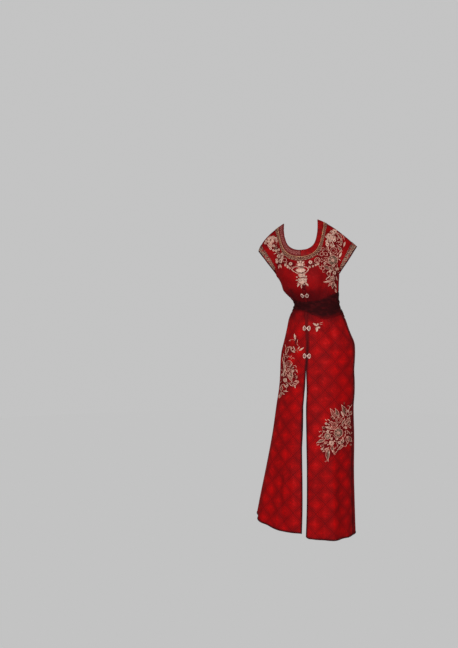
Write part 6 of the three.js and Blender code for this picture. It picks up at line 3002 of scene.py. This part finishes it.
    def shade(self, panels: list[bpy.types.Object]) -> None:
        """Marks the cloth under the needlework's regions, for its finish to darken it with painted shade.

        Args:
            panels: the cloth of both fronts.
        """
        grounds = []
        for _, _, _, _, _, *corners in REGIONS:
            grounds.append((np.array(corners).min(0), np.array(corners).max(0), corners))
        for panel in panels:
            marks = np.zeros(len(panel.data.vertices), np.float32)
            for k, vertex in enumerate(panel.data.vertices):
                x, y = self.studio.seen(vertex.co)
                for (x0, y0), (x1, y1), corners in grounds:
                    if x0 < x < x1 and y0 < y < y1 and is_inside(corners, x, y):
                        marks[k] = 1
            panel.data.attributes.new("worked", "FLOAT", "POINT").data.foreach_set("value", marks)


def petal_form() -> tuple[list[tuple[float, float, float]], list[list[int]]]:
    """A domed petal one long and one wide, its stem at the origin, closed underneath.

    Returns:
        Its points and its faces.
    """
    points, faces = [(0.0, 0.0, 0.0)], []
    for along, half, high in ((0.14, 0.3, 0.5), (0.42, 0.5, 1.0), (0.72, 0.42, 0.9), (0.92, 0.2, 0.5)):
        points += [(along, -half, 0.0), (along, -half * 0.5, high * 0.8), (along, 0.0, high * 0.62)]
        points += [(along, half * 0.5, high * 0.8), (along, half, 0.0)]
    points.append((1.0, 0.0, 0.0))
    tip = len(points) - 1
    for k in range(4):
        faces += [[0, 1 + k, 2 + k], [tip, tip - 4 + k, tip - 5 + k]]
        for ring in range(3):
            a = 1 + ring * 5 + k
            faces.append([a, a + 5, a + 6, a + 1])
    under = [0, *(5 + 5 * k for k in range(4)), tip, *(1 + 5 * k for k in range(3, -1, -1))]
    faces.append(under)
    return points, faces


@dataclass
class Stitching:
    """Small even stitches along the bands, the cuffs and the bindings."""

    surfaces: dict[Side, RobeSurface]
    pale: bpy.types.Material
    deep: bpy.types.Material
    long: float = 2.6
    wide: float = 0.55
    pitch: float = 4.2
    inset: float = 0.09
    bare_columns: int = 50
    edge_column: float = 1.16
    edge_lift: float = 0.1
    edge_run: tuple[float, float] = (-600, -420)
    uneven: tuple[float, float] = (0.82, 1.12)

    def build(self) -> list[bpy.types.Object]:
        """Makes the stitches of each half, pale and deep red.

        Returns:
            The pieces.
        """
        tree = self._tree()
        made = []
        for side, surface in self.surfaces.items():
            top = CUT.lift + CUT.trim
            rows = (UNDERARM_ROW + 1 - self.inset, TOP_ROW - 3 + self.inset)
            pale = [self._round(surface, row, top) for row in rows]
            pale[0] = pale[0][self.bare_columns : -self.bare_columns]
            rows = (TOP_ROW - self.inset, TOP_ROW - 1 + self.inset)
            deep = [self._round(surface, row, top) for row in rows]
            deep.append(self._edge(surface, self.edge_column))
            for name, lines, silk in (("pale", pale, self.pale), ("deep", deep, self.deep)):
                points = np.concatenate(lines)
                edges, start = [], 0
                for line in lines:
                    edges += [(start + i, start + i + 1) for i in range(len(line) - 1)]
                    start += len(line)
                sizes = {"Pitch": self.pitch * MM, "Long": self.long * MM, "Wide": self.wide * MM}
                inputs = {**sizes, "Material": silk}
                piece = grow(f"stitches_{side.value}_{name}", tree, points, edges, {}, inputs)
                made.append(piece)
        return made

    @staticmethod
    def _round(surface: RobeSurface, row: float, lift: float) -> np.ndarray:
        """A line round the shoulder, on the face of what is sewn there.

        Args:
            surface: the half's outer face.
            row: a row of the yoke, with its share of the next.
            lift: how far above the cloth it runs.

        Returns:
            Its points.
        """
        points, normals = surface.points[surface.yoke_ids], surface.normals[surface.yoke_ids]
        i = int(np.searchsorted(surface.yoke_rows, row)) - 1
        share = (row - surface.yoke_rows[i]) / (surface.yoke_rows[i + 1] - surface.yoke_rows[i])
        line = points[i] + (points[i + 1] - points[i]) * share
        return line + normals[i] * lift

    def _edge(self, surface: RobeSurface, column: float) -> np.ndarray:
        """A line down the front just inside its binding.

        Args:
            surface: the half's outer face.
            column: a column of the body, with its share of the next.

        Returns:
            Its points.
        """
        ids = surface.body_ids
        k = int(np.searchsorted(surface.body_columns, column)) - 1
        share = (column - surface.body_columns[k]) / (surface.body_columns[k + 1] - surface.body_columns[k])
        points = surface.points[ids[:, k]]
        line = points + (surface.points[ids[:, k + 1]] - points) * share
        line = line + surface.normals[ids[:, k]] * self.edge_lift
        low, high = self.edge_run
        return line[(line[:, 2] < high) & (line[:, 2] > low)]

    def _tree(self) -> bpy.types.NodeTree:
        """Running stitches: a small thread at every pitch along a line, each a little uneven.

        Returns:
            The tree.
        """
        t = Tree("running_stitches")
        pitch, long, wide = t.size("Pitch"), t.size("Long"), t.size("Wide")
        line = t.node("GeometryNodeMeshToCurve", {0: t.start.outputs[0]})
        even = t.node("GeometryNodeResampleCurve", {"Curve": line.outputs[0], "Length": pitch}, mode="LENGTH")
        tangent = t.node("GeometryNodeInputTangent")
        aim = t.node("FunctionNodeAlignRotationToVector", {"Vector": tangent.outputs[0]}, axis="Z")
        ball = t.node("GeometryNodeMeshUVSphere", {"Segments": 5, "Rings": 4, "Radius": 0.5})
        size = t.node("ShaderNodeCombineXYZ", {0: wide, 1: wide, 2: long})
        least, most = self.uneven
        uneven = t.node("FunctionNodeRandomValue", {"Min_001": least, "Max_001": most, "Seed": 7})
        inputs = {0: size.outputs[0], "Scale": uneven.outputs[1]}
        scale = t.node("ShaderNodeVectorMath", inputs, operation="SCALE")
        inputs = {"Points": even.outputs[0], "Instance": ball.outputs[0], "Rotation": aim.outputs[0]}
        sewn = t.node("GeometryNodeInstanceOnPoints", {**inputs, "Scale": scale.outputs[0]})
        return t.close(sewn.outputs[0])


# Flat sizes of the fronts and backs: width and length in metres, and area in square metres.
PANEL_FLAT = {
    "front_right": (0.42, 1.24, 0.284),
    "front_left": (0.44, 1.28, 0.268),
    "back_right": (0.30, 1.26, 0.205),
    "back_left": (0.44, 1.29, 0.323),
}


def main() -> None:
    """Sets up the studio, then builds the robe piece by piece."""
    studio = Studio()
    studio.build()
    form = RobeForm()
    surfaces = {side: RobeSurface(side, form) for side in Side}
    binding = Woven("binding", rgb(78, 7, 12), rgb(52, 4, 9), roughness=0.7, upper=rgb(112, 7, 11))
    maroon = binding.material()
    lace = FiguredBand("lace", rgb(108, 50, 42), rgb(174, 126, 102), rgb(70, 24, 22), middle=0.0385)
    cuff = FiguredBand(
        "cuff", rgb(132, 88, 74), rgb(190, 152, 128), rgb(62, 10, 18), middle=0.012, patch=rgb(150, 14, 20)
    )
    figured = FiguredBand("collar_lace", rgb(122, 26, 28), rgb(168, 104, 98), rgb(100, 9, 14), middle=0.014)
    plain = Woven("collar", rgb(166, 9, 11), rgb(126, 8, 11), thread=0.0009, roughness=0.55)
    piping = Woven("piping", rgb(222, 172, 132), rgb(180, 122, 92), thread=0.0006, roughness=0.5)
    cloth = {
        "brocade": Damask().material(),
        "lining": Woven("lining", rgb(106, 9, 13), rgb(80, 7, 11), thread=0.001).material(),
        "lace": lace.material(),
        "cuff": cuff.material(),
        "collar_left": plain.material(),
        "collar_right": figured.material(),
        "piping": piping.material(),
        "binding": maroon,
    }
    body = RobeBody(surfaces, cloth).build()
    for piece in body:
        LOG.info("cloth: %s, %d faces", piece.name, len(piece.data.polygons))
    for piece in Sash(surfaces, Gauze().material()).build():
        LOG.info("sash: %s", piece.name)
    clasps = Clasp(surfaces, Metal().material())
    for piece in clasps.build():
        LOG.info("clasp: %s", piece.name)
    threads = {
        Silk.LINE: Thread("thread_pale", rgb(232, 176, 158), rgb(190, 128, 112)),
        Silk.SAGE: Thread("thread_sage", rgb(126, 96, 78), rgb(88, 58, 46)),
        Silk.CREAM: Thread("thread_cream", rgb(224, 188, 168), rgb(184, 138, 122)),
        Silk.ORANGE: Thread("thread_orange", rgb(205, 74, 44), rgb(160, 44, 28)),
        Silk.DARK: Thread("thread_dark", rgb(48, 16, 18), rgb(30, 8, 12)),
    }
    silks = {silk: thread.material() for silk, thread in threads.items()}
    needle = Needlework(surfaces, studio, silks)
    needle.shade([piece for piece in body if piece.name in ("front_right_cloth", "front_left_cloth")])
    stitches = Stitching(surfaces, silks[Silk.CREAM], maroon)
    for piece in needle.pendant() + needle.build() + stitches.build():
        LOG.info("needlework: %s, %d faces", piece.name, len(piece.data.polygons))


if __name__ == "__main__":
    logging.basicConfig(level=logging.INFO, format="%(name)s %(message)s")
    main()
